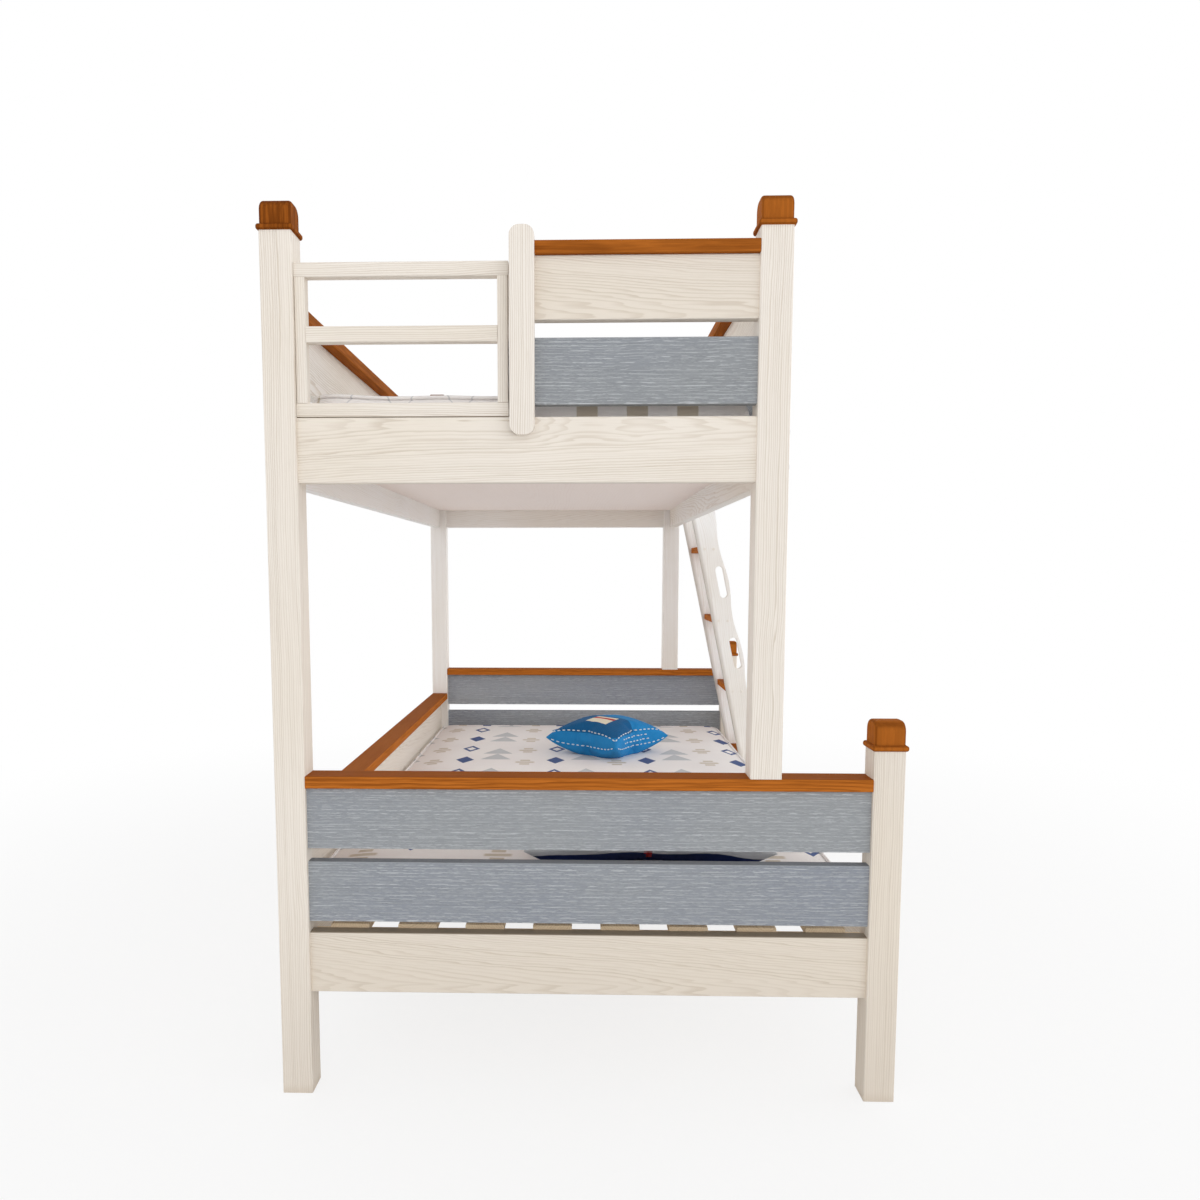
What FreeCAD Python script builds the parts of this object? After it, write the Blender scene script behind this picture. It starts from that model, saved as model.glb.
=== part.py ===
import FreeCAD, Part
import Sketcher
import math
import os
import re
from collections import namedtuple

# A bunk bed with a wide lower bed and a narrower upper bed, flush on the wall side.
# X runs across from the wall side, Y from foot to head, Z up, all in millimetres.
# Sizes below are measured from the outer corner of the front wall-side post, at the floor.

SIZES = {
    # Posts
    "post_side": 65,
    "tall_post_rise": 24,
    "short_post_rise": 60,
    "edge_round": 3,
    # Post tops
    "flange_thick": 12,
    "flange_overhang": 5,
    "flange_round": 5,
    "finial_height": 50,
    "finial_inset": 0.5,
    "finial_arch_round": 22,
    "finial_edge_round": 7,
    "flange_corner": 5,
    # Rails and boards
    "rail_inset": 10,
    "rail_thick": 30,
    "board_thick": 28,
    "cap_thick": 26,
    # Lower bed
    "floor_gap": 225,
    "low_rail_height": 133,
    "slat_gap_height": 24,
    "end_board_height": 132,
    "end_slot": 28,
    "side_cap_drop": 106,
    "side_board_height": 132,
    # Slats and what carries them
    "slat_count": 8,
    "slat_width": 84,
    "slat_thick": 18,
    "slat_rise": 8,
    "bearer_count": 3,
    "bearer_width": 40,
    "bearer_height": 45,
    "mortise_depth": 12,
    "cleat_width": 30,
    "cleat_height": 40,
    # Upper bed
    "bunk_clearance": 610,
    "deck_rail_height": 132,
    "deck_rise": 72,
    "deck_thick": 15,
    "groove_depth": 10,
    # Guards of the upper bed
    "guard_gap": 24,
    "guard_panel_height": 132,
    "guard_slot": 34,
    "guard_board_height": 126,
    "wall_guard_drop": 103,
    "wall_guard_board_height": 132,
    "stile_width": 50,
    "stile_thick": 22,
    "stile_rise": 26,
    "stile_lap": 38,
    "stile_round": 20,
    "stile_cover": 4,
    "foot_stile_place": 501,
    "stile_ladder_gap": 60,
    # Lift-out frame beside the foot guard
    "access_height": 306,
    "access_thick": 26,
    "access_rail_height": 29,
    "access_mid_height": 32,
    "access_mid_rise": 149,
    "access_stile_width": 22,
    "access_stile_gap": 3.5,
    "access_post_gap": 0.5,
    "pin_radius": 5,
    "pin_depth": 20,
    "pin_margin": 60,
    # Ladder
    "ladder_head_gap": 64,
    "ladder_width": 336,
    "ladder_mattress_gap": 13,
    "ladder_heel_drop": 11,
    "ladder_touch_rise": 94,
    "stringer_thick": 24,
    "stringer_width": 86,
    "wave_depth": 6,
    "tread_count": 5,
    "tread_first_top": 121,
    "tread_last_drop": 222,
    "tread_thick": 23,
    "tread_inset": 12,
    "tread_depth": 63,
    "handhold_count": 2,
    "handhold_length": 124,
    "handhold_width": 30,
    "handhold_edge": 22,
    "hook_thick": 4,
    "hook_width": 20,
    "hook_drop": 38,
    "hook_reach": 56,
    "hook_screw_start": 20,
    "hook_screw_spacing": 22,
    # Metal fittings
    "bracket_leg": 40,
    "bracket_foot": 22,
    "bracket_height": 36,
    "bracket_thick": 3,
    "bracket_rail_screw": 26,
    "bracket_post_screw": 13,
    "bolt_radius": 4,
    "bolt_grip": 50,
    "bolt_spacing": 70,
    "bolt_head_radius": 9,
    "bolt_head_height": 4,
    "screw_radius": 2.5,
    "screw_head_radius": 5,
    "screw_head_height": 2.5,
    "bracket_screw_length": 24,
    "stile_screw_bite": 15,
    "tread_screw_bite": 40,
    "tread_screw_margin": 14,
    "hook_screw_length": 35,
    # Bedding
    "mattress_thick": 100,
    "mattress_length": 2020,
    "mattress_crown": 5,
    "crown_border": 200,
    "mattress_roll": 14,
    "mattress_corner": 60,
    "lower_mattress_width": 1200,
    "upper_mattress_width": 960,
    "mattress_end_gap": 7.5,
    "mattress_wall_gap": 0.5,
    "upper_mattress_gap": 11.5,
    "cushion_side": 325,
    "cushion_height": 130,
    "cushion_draw": 14,
    "cushion_turn": 51,
    "cushion_x": 743,
    "cushion_y": 1453,
    "pillow_length": 570,
    "pillow_width": 370,
    "pillow_height": 105,
    "pillow_draw": 12,
    "pillow_x": 798,
    "pillow_y": 275,
    # Clearances
    "lift_clear": 0.3,
    "fit_clear": 0.05,
    "groove_clear": 0.5,
}

# Widths, levels and places that follow from the sizes. A rounding takes less than half of its wall.
# The ladder's inner edge runs from the upper rail's face to the low rail's face and clears the lower mattress
# on its way, which sets the lower bed's width. That bed is also wide enough to carry the upper one's posts.
DERIVED = {
    "rail_inner": "rail_inset + rail_thick",
    "board_inner": "rail_inset + board_thick",
    "flange_bullnose": "min(flange_round; 0.45 * flange_thick)",
    "finial_arch": "min(finial_arch_round; 0.45 * (post_side - 2 * finial_inset); 0.9 * finial_height)",
    "finial_edge": "min(finial_edge_round; 0.9 * finial_arch)",
    "stile_corner": "min(stile_round; 0.45 * stile_width)",
    "low_rail_top": "floor_gap + low_rail_height",
    "low_board_bottom": "low_rail_top + slat_gap_height",
    "low_board_top": "low_board_bottom + end_board_height",
    "high_board_bottom": "low_board_top + end_slot",
    "cap_bottom": "high_board_bottom + end_board_height",
    "cap_top": "cap_bottom + cap_thick",
    "short_post_height": "cap_top + short_post_rise",
    "side_cap_top": "cap_top - side_cap_drop",
    "slat_top": "low_rail_top + slat_rise",
    "slat_bottom": "slat_top - slat_thick",
    "lower_mattress_bottom": "slat_top + lift_clear",
    "lower_mattress_top": "lower_mattress_bottom + mattress_thick",
    "deck_rail_bottom": "cap_top + bunk_clearance",
    "deck_rail_top": "deck_rail_bottom + deck_rail_height",
    "deck_bottom": "deck_rail_bottom + deck_rise",
    "deck_top": "deck_bottom + deck_thick",
    "upper_mattress_bottom": "deck_top + lift_clear",
    "guard_panel_bottom": "deck_rail_top + guard_gap",
    "guard_panel_top": "guard_panel_bottom + guard_panel_height",
    "guard_board_bottom": "guard_panel_top + guard_slot",
    "guard_cap_bottom": "guard_board_bottom + guard_board_height",
    "guard_cap_top": "guard_cap_bottom + cap_thick",
    "tall_post_height": "guard_cap_top + tall_post_rise",
    "wall_guard_top": "guard_cap_top - wall_guard_drop",
    "stile_bottom": "deck_rail_top - stile_lap",
    "stile_top": "guard_cap_top + stile_rise",
    "bed_length": "mattress_length + 2 * mattress_end_gap + 2 * post_side",
    "back_post": "bed_length - post_side",
    "upper_width": "upper_mattress_width + 2 * upper_mattress_gap + 2 * rail_inner",
    "upper_post": "upper_width - post_side",
    "ladder_touch": "deck_rail_bottom + ladder_touch_rise",
    "ladder_plumb": "upper_width - rail_inset + lift_clear",
    "ladder_heel_rise": "floor_gap - ladder_heel_drop",
    "ladder_share": "(lower_mattress_top - ladder_heel_rise) / (ladder_touch - ladder_heel_rise)",
    "mattress_side": "rail_inner + mattress_wall_gap + lower_mattress_width",
    "clear_heel": "(mattress_side + ladder_mattress_gap - ladder_share * ladder_plumb) / (1 - ladder_share)",
    "lower_width": "max(clear_heel - lift_clear + rail_inset; upper_width + post_side + 2 * flange_overhang)",
    "right_post": "lower_width - post_side",
    "ladder_heel": "lower_width - rail_inset + lift_clear",
    "ladder_lean": "(ladder_heel - ladder_plumb) / (ladder_touch - ladder_heel_rise)",
    "ladder_foot": "ladder_heel + ladder_lean * ladder_heel_rise",
    "ladder_top": "deck_rail_top + lift_clear",
    "ladder_place": "back_post - ladder_head_gap - ladder_width",
    "ladder_far": "ladder_place + ladder_width - stringer_thick",
    "tread_pitch": "(deck_rail_top - tread_last_drop - tread_first_top) / (tread_count - 1)",
    "open_stile_place": "ladder_place - stile_ladder_gap - stile_width",
    "slat_gap": "(lower_width - 2 * rail_inner - slat_count * slat_width) / (slat_count + 1)",
    "access_left": "post_side + access_post_gap",
    "access_right": "foot_stile_place - access_stile_gap",
    "access_bottom": "deck_rail_top + lift_clear",
    "access_top": "access_bottom + access_height",
    "open_reach": "max(ladder_foot + stringer_width; lower_width + flange_overhang)",
    "foot_reach": "max(stile_thick - rail_inset; flange_overhang)",
    "origin_x": "(open_reach - flange_overhang) / 2",
    "origin_y": "(bed_length + flange_overhang - foot_reach) / 2",
    "origin_z": "0",
}

doc = FreeCAD.newDocument("bunk_bed")
sheet = doc.addObject("Spreadsheet::Sheet", "Sizes")
formulas = {alias: "=" + formula for alias, formula in DERIVED.items()}
for row, (alias, content) in enumerate({**SIZES, **formulas}.items(), 1):
    sheet.set(f"A{row}", alias)
    sheet.set(f"B{row}", str(content))
    sheet.setAlias(f"B{row}", alias)
doc.recompute()

nodes = []


def bound(text):
    """An expression on the sheet's cells, from one that names them by alias."""
    return re.sub(r"[a-z][a-z_]*", lambda word: "Sizes." + word.group(), str(text))


def number(text):
    """The value of such an expression."""
    return float(sheet.evalExpression(bound(text)))


def point(x, y, z):
    """A point in the part's frame, from bed coordinates."""
    return FreeCAD.Vector(x - number("origin_x"), y - number("origin_y"), z)


def node(piece, label):
    """Name a finished sub-part."""
    piece.Label = label
    nodes.append(piece)
    return piece


# Timber: a rectangular section with eased edges, padded along one axis

TURNS = {"z": 0, "x": 120, "y": 240}
LOCAL_AXES = {"z": "xyz", "x": "yzx", "y": "zxy"}
HAIR = 0.01  # a length that counts as none


def rectangle(sketch, width, height):
    """A constrained rectangle from the sketch's origin."""
    corners = [FreeCAD.Vector(x, y) for x, y in ((0, 0), (10, 0), (10, 10), (0, 10))]
    for start, end in zip(corners, corners[1:] + corners[:1]):
        sketch.addGeometry(Part.LineSegment(start, end))
    for side in range(4):
        sketch.addConstraint(Sketcher.Constraint("Coincident", side, 2, (side + 1) % 4, 1))
    for side, kind in enumerate(("Horizontal", "Vertical", "Horizontal", "Vertical")):
        sketch.addConstraint(Sketcher.Constraint(kind, side))
    sketch.addConstraint(Sketcher.Constraint("Coincident", 0, 1, -1, 1))
    for name, side, size in (("width", 0, width), ("height", 1, height)):
        index = sketch.addConstraint(Sketcher.Constraint("Distance", side, 10))
        sketch.renameConstraint(index, name)
        sketch.setExpression("Constraints." + name, bound(size))


def upright(edge, shape):
    """Whether an edge runs along the pad."""
    return abs(edge.tangentAt(edge.FirstParameter).z) > 0.9


def level(edge, shape):
    """Whether an edge lies across the pad."""
    return not upright(edge, shape)


def topmost(edge, shape):
    """Whether an edge bounds the pad's far end."""
    return level(edge, shape) and edge.CenterOfMass.z > shape.BoundBox.Center.z


def arched(edge, shape):
    """Whether an edge runs from side to side at the pad's far end."""
    return topmost(edge, shape) and edge.BoundBox.YLength < HAIR


def flanking(edge, shape):
    """Whether an edge bounds the left or the right side, apart from its foot."""
    return edge.BoundBox.XLength < HAIR and edge.BoundBox.ZMax > shape.BoundBox.ZMin + HAIR


def round_edges(body, radius, chosen):
    """Fillet the chosen edges of a body's last feature."""
    doc.recompute()
    base = body.Tip
    edges = [f"Edge{index}" for index, edge in enumerate(base.Shape.Edges, 1) if chosen(edge, base.Shape)]
    fillet = body.newObject("PartDesign::Fillet", body.Name + "_round")
    fillet.Base = (base, edges)
    fillet.setExpression("Radius", bound(radius))


def timber_blank(name, along, x, y, z, ease, eased=upright):
    """A body between the bed coordinates in x, y and z, with its long edges, or other chosen ones, eased."""
    spans = {"x": x, "y": y, "z": z}
    width, height, length = (f"({spans[axis][1]}) - ({spans[axis][0]})" for axis in LOCAL_AXES[along])
    body = doc.addObject("PartDesign::Body", name)
    plane = next(feature for feature in body.Origin.OriginFeatures if feature.Role == "XY_Plane")
    sketch = body.newObject("Sketcher::SketchObject", name + "_section")
    sketch.AttachmentSupport = (plane, [""])
    sketch.MapMode = "FlatFace"
    rectangle(sketch, width, height)
    pad = body.newObject("PartDesign::Pad", name + "_pad")
    pad.Profile = sketch
    pad.setExpression("Length", bound(length))
    round_edges(body, ease, eased)
    turn = FreeCAD.Rotation(FreeCAD.Vector(1, 1, 1), TURNS[along])
    body.Placement = FreeCAD.Placement(FreeCAD.Vector(), turn)
    for axis, span in spans.items():
        body.setExpression("Placement.Base." + axis, bound(f"({span[0]}) - origin_{axis}"))
    return body


def box(name, x, y, z):
    """A plain box between the bed coordinates in x, y and z."""
    block = doc.addObject("Part::Box", name)
    for size, axis, span in (("Length", "x", x), ("Width", "y", y), ("Height", "z", z)):
        block.setExpression(size, bound(f"({span[1]}) - ({span[0]})"))
        block.setExpression("Placement.Base." + axis, bound(f"({span[0]}) - origin_{axis}"))
    return block


def group(name, members):
    """Several objects as one compound."""
    compound = doc.addObject("Part::Compound", name)
    compound.Links = members
    return compound


def cut_from(blank, tools, label):
    """The node left when the tools are taken from a blank."""
    cut = doc.addObject("Part::Cut", label)
    cut.Base = blank
    cut.Tool = group(label + "_tools", tools)
    return node(cut, label)


def timber(label, along, x, y, z, tools=(), ease="edge_round"):
    """A finished timber node, with any grooves, mortises and holes cut."""
    if not tools:
        return node(timber_blank(label, along, x, y, z, ease), label)
    return cut_from(timber_blank(label + "_blank", along, x, y, z, ease), list(tools), label)


# Fasteners: a round head on a shank, and the holes that take them

Fastener = namedtuple("Fastener", "seat way length radius head_radius head_height")
HEAD_DOME = 0.6  # share of a head's height that its dome takes


def bolt(seat, way, length):
    """A bed bolt whose head sits at seat and whose shank runs the given way."""
    return Fastener(seat, way, length, number("bolt_radius"), number("bolt_head_radius"),
                    number("bolt_head_height"))


def screw(seat, way, length):
    """A wood screw, likewise."""
    return Fastener(seat, way, length, number("screw_radius"), number("screw_head_radius"),
                    number("screw_head_height"))


def fastener_solid(item):
    """The solid of one fastener, with a domed head."""
    shank = Part.makeCylinder(item.radius, item.length, item.seat, item.way)
    head = Part.makeCylinder(item.head_radius, item.head_height, item.seat, -item.way)
    crown = item.seat - item.way * item.head_height
    rim = [edge for edge in head.Edges if edge.Closed and edge.CenterOfMass.distanceToPoint(crown) < HAIR]
    return shank.fuse(head.makeFillet(item.head_height * HEAD_DOME, rim)).removeSplitter()


def fastener_group(label, items):
    """One node of separate fasteners."""
    feature = doc.addObject("Part::Feature", label)
    feature.Shape = Part.makeCompound([fastener_solid(item) for item in items])
    return node(feature, label)


def holes(name, items):
    """The cutting tool for the shanks of some fasteners."""
    play = number("fit_clear")
    tool = doc.addObject("Part::Feature", name)
    tool.Shape = Part.makeCompound([
        Part.makeCylinder(item.radius + play, item.length + play, item.seat, item.way) for item in items])
    return tool


ACROSS = FreeCAD.Vector(1, 0, 0)
ALONG = FreeCAD.Vector(0, 1, 0)
UP = FreeCAD.Vector(0, 0, 1)


def end_bolts(y_of_rail, rail_middle, right_face):
    """The bolts through the two posts at the ends of one end rail, as (wall side, open side)."""
    length = number("post_side + bolt_grip")
    heights = [rail_middle - number("bolt_spacing") / 2, rail_middle + number("bolt_spacing") / 2]
    wall = [bolt(point(0, y_of_rail, height), ACROSS, length) for height in heights]
    open_side = [bolt(point(right_face, y_of_rail, height), -ACROSS, length) for height in heights]
    return wall, open_side


foot_line = number("rail_inset + rail_thick / 2")
head_line = number("bed_length") - foot_line
low_middle = number("floor_gap + low_rail_height / 2")
deck_middle = number("deck_rail_bottom + deck_rail_height / 2")
low_foot_bolts = end_bolts(foot_line, low_middle, number("lower_width"))
low_head_bolts = end_bolts(head_line, low_middle, number("lower_width"))
deck_foot_bolts = end_bolts(foot_line, deck_middle, number("upper_width"))
deck_head_bolts = end_bolts(head_line, deck_middle, number("upper_width"))


# Corner brackets hold the side rails to the posts

Bracket = namedtuple("Bracket", "rail_face inward post_face onward middle")


def corner_brackets(rail_face, inward, middle):
    """The brackets at the foot and head ends of one side rail."""
    return [Bracket(rail_face, inward, number("post_side"), 1, middle),
            Bracket(rail_face, inward, number("back_post"), -1, middle)]


def bracket_solid(item):
    """An angle with one leg on the rail and a short foot on the post."""
    thick, half = number("bracket_thick"), number("bracket_height") / 2

    def leg(across, along):
        low = point(item.rail_face, item.post_face, item.middle - half)
        high = low + FreeCAD.Vector(item.inward * across, item.onward * along, 2 * half)
        corner = FreeCAD.Vector(min(low.x, high.x), min(low.y, high.y), low.z)
        return Part.makeBox(across, along, 2 * half, corner)

    return leg(thick, number("bracket_leg")).fuse(leg(number("bracket_foot"), thick)).removeSplitter()


def rail_screw(item):
    """The screw through the long leg into the rail."""
    seat = point(item.rail_face + item.inward * number("bracket_thick"),
                 item.post_face + item.onward * number("bracket_rail_screw"), item.middle)
    return screw(seat, ACROSS * -item.inward, number("bracket_screw_length"))


def post_screw(item):
    """The screw through the short foot into the post."""
    seat = point(item.rail_face + item.inward * number("bracket_post_screw"),
                 item.post_face + item.onward * number("bracket_thick"), item.middle)
    return screw(seat, ALONG * -item.onward, number("bracket_screw_length"))


deck_bracket_middle = number("(deck_top + deck_rail_top) / 2")
low_wall_brackets = corner_brackets(number("rail_inner"), 1, low_middle)
low_open_brackets = corner_brackets(number("lower_width - rail_inner"), -1, low_middle)
deck_wall_brackets = corner_brackets(number("rail_inner"), 1, deck_bracket_middle)
deck_open_brackets = corner_brackets(number("upper_width - rail_inner"), -1, deck_bracket_middle)
all_brackets = low_wall_brackets + low_open_brackets + deck_wall_brackets + deck_open_brackets
bracket_screws = [make(item) for item in all_brackets for make in (rail_screw, post_screw)]

brackets = doc.addObject("Part::Feature", "corner_brackets")
bracket_bodies = [bracket_solid(item) for item in all_brackets]
bracket_holes = [Part.makeCylinder(item.radius + number("fit_clear"), item.length, item.seat, item.way)
                 for item in bracket_screws]
brackets.Shape = Part.makeCompound([body.cut(bracket_holes) for body in bracket_bodies])
node(brackets, "corner_brackets")


# Screws that hold the two rounded stiles to the rail and boards behind them

def stile_screws(place, way):
    """Screws from the inner faces of rail, panel and board into a stile."""
    rows = (("deck_rail_top - stile_lap / 2", "rail_inner", "rail_thick"),
            ("(guard_panel_bottom + guard_panel_top) / 2", "board_inner", "board_thick"),
            ("(guard_board_bottom + guard_cap_bottom) / 2", "board_inner", "board_thick"))
    return [screw(place(number(inner), number(height)), way, number(thick + " + stile_screw_bite"))
            for height, inner, thick in rows]


foot_stile_middle = number("foot_stile_place + stile_width / 2")
open_stile_middle = number("open_stile_place + stile_width / 2")
upper_width = number("upper_width")


def behind_foot_stile(inner, height):
    """A screw's seat on the inside of the foot end."""
    return point(foot_stile_middle, inner, height)


def behind_open_stile(inner, height):
    """A screw's seat on the inside of the open side."""
    return point(upper_width - inner, open_stile_middle, height)


foot_stile_screws = stile_screws(behind_foot_stile, -ALONG)
open_stile_screws = stile_screws(behind_open_stile, ACROSS)


# Posts

def post(label, x, y, z_from, z_to, items):
    """A square post with the holes for its bolts and screws."""
    timber(label, "z", (x, x + " + post_side"), (y, y + " + post_side"), (z_from, z_to),
           [holes(label + "_holes", items)])


post("post_front_wall", "0", "0", "0", "tall_post_height",
     low_foot_bolts[0] + deck_foot_bolts[0]
     + [post_screw(low_wall_brackets[0]), post_screw(deck_wall_brackets[0])])
post("post_back_wall", "0", "back_post", "0", "tall_post_height",
     low_head_bolts[0] + deck_head_bolts[0]
     + [post_screw(low_wall_brackets[1]), post_screw(deck_wall_brackets[1])])
post("post_front_open", "right_post", "0", "0", "short_post_height",
     low_foot_bolts[1] + [post_screw(low_open_brackets[0])])
post("post_back_open", "right_post", "back_post", "0", "short_post_height",
     low_head_bolts[1] + [post_screw(low_open_brackets[1])])
post("post_upper_front", "upper_post", "0", "cap_top", "tall_post_height",
     deck_foot_bolts[1] + [post_screw(deck_open_brackets[0])])
post("post_upper_back", "upper_post", "back_post", "cap_top", "tall_post_height",
     deck_head_bolts[1] + [post_screw(deck_open_brackets[1])])


# Post tops: a bullnosed flange under a loaf-shaped block

def finial(name, x, y, z):
    """The top of the post whose corner is at x, y and whose top is at z."""
    flange = timber_blank(name + "_flange", "z",
                          (x + " - flange_overhang", x + " + post_side + flange_overhang"),
                          (y + " - flange_overhang", y + " + post_side + flange_overhang"),
                          (z, z + " + flange_thick"), "flange_corner")
    round_edges(flange, "flange_bullnose", level)
    loaf = timber_blank(name + "_loaf", "z", (x + " + finial_inset", x + " + post_side - finial_inset"),
                        (y + " + finial_inset", y + " + post_side - finial_inset"),
                        (z + " + flange_thick", z + " + flange_thick + finial_height"), "finial_arch",
                        arched)
    round_edges(loaf, "finial_edge", flanking)
    joined = doc.addObject("Part::Fuse", name)
    joined.Base = flange
    joined.Tool = loaf
    return joined


finials = [
    finial("finial_front_wall", "0", "0", "tall_post_height"),
    finial("finial_back_wall", "0", "back_post", "tall_post_height"),
    finial("finial_upper_front", "upper_post", "0", "tall_post_height"),
    finial("finial_upper_back", "upper_post", "back_post", "tall_post_height"),
    finial("finial_front_open", "right_post", "0", "short_post_height"),
    finial("finial_back_open", "right_post", "back_post", "short_post_height"),
]
node(group("finials", finials), "finials")


# Ends of the lower bed, alike at foot and head

def lower_end(name, mirror, bolts):
    """Rail, two boards and cap between the posts of one end."""
    across = ("post_side", "right_post")
    timber(name + "_rail", "x", across, mirror("rail_inset", "rail_inner"), ("floor_gap", "low_rail_top"),
           [holes(name + "_rail_holes", bolts[0] + bolts[1])])
    timber(name + "_board_lower", "x", across, mirror("rail_inset", "board_inner"),
           ("low_board_bottom", "low_board_top"))
    timber(name + "_board_upper", "x", across, mirror("rail_inset", "board_inner"),
           ("high_board_bottom", "cap_bottom"))
    timber(name + "_cap", "x", across, mirror("0", "post_side"), ("cap_bottom", "cap_top"))


def at_foot(near, far):
    """A span in Y measured from the foot end."""
    return near, far


def at_head(near, far):
    """The same span measured from the head end."""
    return f"bed_length - ({far})", f"bed_length - ({near})"


lower_end("foot", at_foot, low_foot_bolts)
lower_end("head", at_head, low_head_bolts)


# Sides and slats of the lower bed

def bearer_line(index):
    """The middle of one cross bearer, along the bed."""
    return f"bed_length * {index + 1} / (bearer_count + 1)"


def bearer_span(index):
    """The width of one cross bearer, along the bed."""
    return f"{bearer_line(index)} - bearer_width / 2", f"{bearer_line(index)} + bearer_width / 2"


bearer_levels = ("slat_bottom - bearer_height", "slat_bottom")
wall_end, open_end = "rail_inner - mortise_depth", "lower_width - rail_inner + mortise_depth"


def mortises(name, x):
    """Sockets in a side rail for the cross bearers."""
    return [box(f"{name}_{index}", x, bearer_span(index), bearer_levels)
            for index in range(int(number("bearer_count")))]


between_posts = ("post_side", "back_post")
timber("wall_rail", "y", ("rail_inset", "rail_inner"), between_posts, ("floor_gap", "low_rail_top"),
       mortises("wall_mortise", (wall_end, "rail_inner"))
       + [holes("wall_rail_holes", [rail_screw(item) for item in low_wall_brackets])])
timber("open_rail", "y", ("lower_width - rail_inner", "lower_width - rail_inset"), between_posts,
       ("floor_gap", "low_rail_top"),
       mortises("open_mortise", ("lower_width - rail_inner", open_end))
       + [holes("open_rail_holes", [rail_screw(item) for item in low_open_brackets])])
side_board_top = "side_cap_top - cap_thick"
timber("wall_board", "y", ("rail_inset", "board_inner"), between_posts,
       (side_board_top + " - side_board_height", side_board_top))
timber("wall_cap", "y", ("0", "post_side"), between_posts, (side_board_top, "side_cap_top"))

bearers = [timber_blank(f"bearer_{index}", "x", (wall_end, open_end), bearer_span(index), bearer_levels,
                        "edge_round")
           for index in range(int(number("bearer_count")))]
node(group("cross_bearers", bearers), "cross_bearers")
cleat_levels = ("slat_bottom - cleat_height", "slat_bottom")
cleats = [timber_blank(name, "x", ("post_side", "right_post"), span("rail_inner", "rail_inner + cleat_width"),
                       cleat_levels, "edge_round")
          for name, span in (("cleat_foot", at_foot), ("cleat_head", at_head))]
node(group("slat_cleats", cleats), "slat_cleats")


def slat(index):
    """One lengthwise slat, counted from the wall side."""
    left = f"rail_inner + slat_gap + {index} * (slat_width + slat_gap)"
    return timber_blank(f"slat_{index}", "y", (left, left + " + slat_width"),
                        ("rail_inner + groove_clear", "bed_length - rail_inner - groove_clear"),
                        ("slat_bottom", "slat_top"), "edge_round")


node(group("slats", [slat(index) for index in range(int(number("slat_count")))]), "slats")


# Frame and deck of the upper bed

groove = ("deck_bottom", "deck_top")
groove_span = ("rail_inner - groove_depth", "rail_inner")
wall_groove = box("wall_groove", groove_span, ("0", "bed_length"), groove)
open_groove = box("open_groove", ("upper_width - rail_inner", "upper_width - rail_inner + groove_depth"),
                  ("0", "bed_length"), groove)
foot_groove = box("foot_groove", ("0", "upper_width"), at_foot(*groove_span), groove)
head_groove = box("head_groove", ("0", "upper_width"), at_head(*groove_span), groove)

Pin = namedtuple("Pin", "x y")
access_line = number("rail_inset + access_thick / 2")
pins = [Pin(number(x), access_line) for x in ("access_left + pin_margin", "access_right - pin_margin")]


def pin_sockets(name, low, high, clearance):
    """Round sockets for the pins between two heights."""
    tool = doc.addObject("Part::Feature", name)
    radius = number("pin_radius") + clearance
    tool.Shape = Part.makeCompound([
        Part.makeCylinder(radius, high - low, point(pin.x, pin.y, low)) for pin in pins])
    return tool


deck_rail_top = number("deck_rail_top")
pin_low = deck_rail_top - number("pin_depth")
lift_clear = number("lift_clear")
rail_sockets = pin_sockets("rail_sockets", pin_low - lift_clear, deck_rail_top, lift_clear)

deck_levels = ("deck_rail_bottom", "deck_rail_top")
upper_across = ("post_side", "upper_post")
timber("deck_rail_foot", "x", upper_across, at_foot("rail_inset", "rail_inner"), deck_levels,
       [foot_groove, rail_sockets,
        holes("deck_rail_foot_holes", deck_foot_bolts[0] + deck_foot_bolts[1] + foot_stile_screws[:1])])
timber("deck_rail_head", "x", upper_across, at_head("rail_inset", "rail_inner"), deck_levels,
       [head_groove, holes("deck_rail_head_holes", deck_head_bolts[0] + deck_head_bolts[1])])
timber("deck_rail_wall", "y", ("rail_inset", "rail_inner"), between_posts, deck_levels,
       [wall_groove, holes("deck_rail_wall_holes", [rail_screw(item) for item in deck_wall_brackets])])
timber("deck_rail_open", "y", ("upper_width - rail_inner", "upper_width - rail_inset"), between_posts,
       deck_levels,
       [open_groove, holes("deck_rail_open_holes",
                           [rail_screw(item) for item in deck_open_brackets] + open_stile_screws[:1])])

panel_edge = "(rail_inner - groove_depth + groove_clear)"
panel_notch = "(post_side + groove_clear)"
deck_sheet = box("deck_sheet", (panel_edge, "upper_width - " + panel_edge),
                 (panel_edge, "bed_length - " + panel_edge), groove)
notch_columns = {"wall": ("0", panel_notch), "open": ("upper_width - " + panel_notch, "upper_width")}
notch_rows = {"front": ("0", panel_notch), "back": ("bed_length - " + panel_notch, "bed_length")}
corner_notches = [box(f"deck_notch_{end}_{side}", x, y, groove)
                  for end, y in notch_rows.items() for side, x in notch_columns.items()]
cut_from(deck_sheet, corner_notches, "deck_panel")


# Guards of the upper bed

panel_levels = ("guard_panel_bottom", "guard_panel_top")
board_levels = ("guard_board_bottom", "guard_cap_bottom")
cap_levels = ("guard_cap_bottom", "guard_cap_top")
stile_levels = ("stile_bottom", "stile_top")
foot_boards = ("foot_stile_place + stile_cover", "upper_post")
open_boards = ("post_side", "open_stile_place + stile_width - stile_cover")
open_depth = ("upper_width - board_inner", "upper_width - rail_inset")

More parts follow.
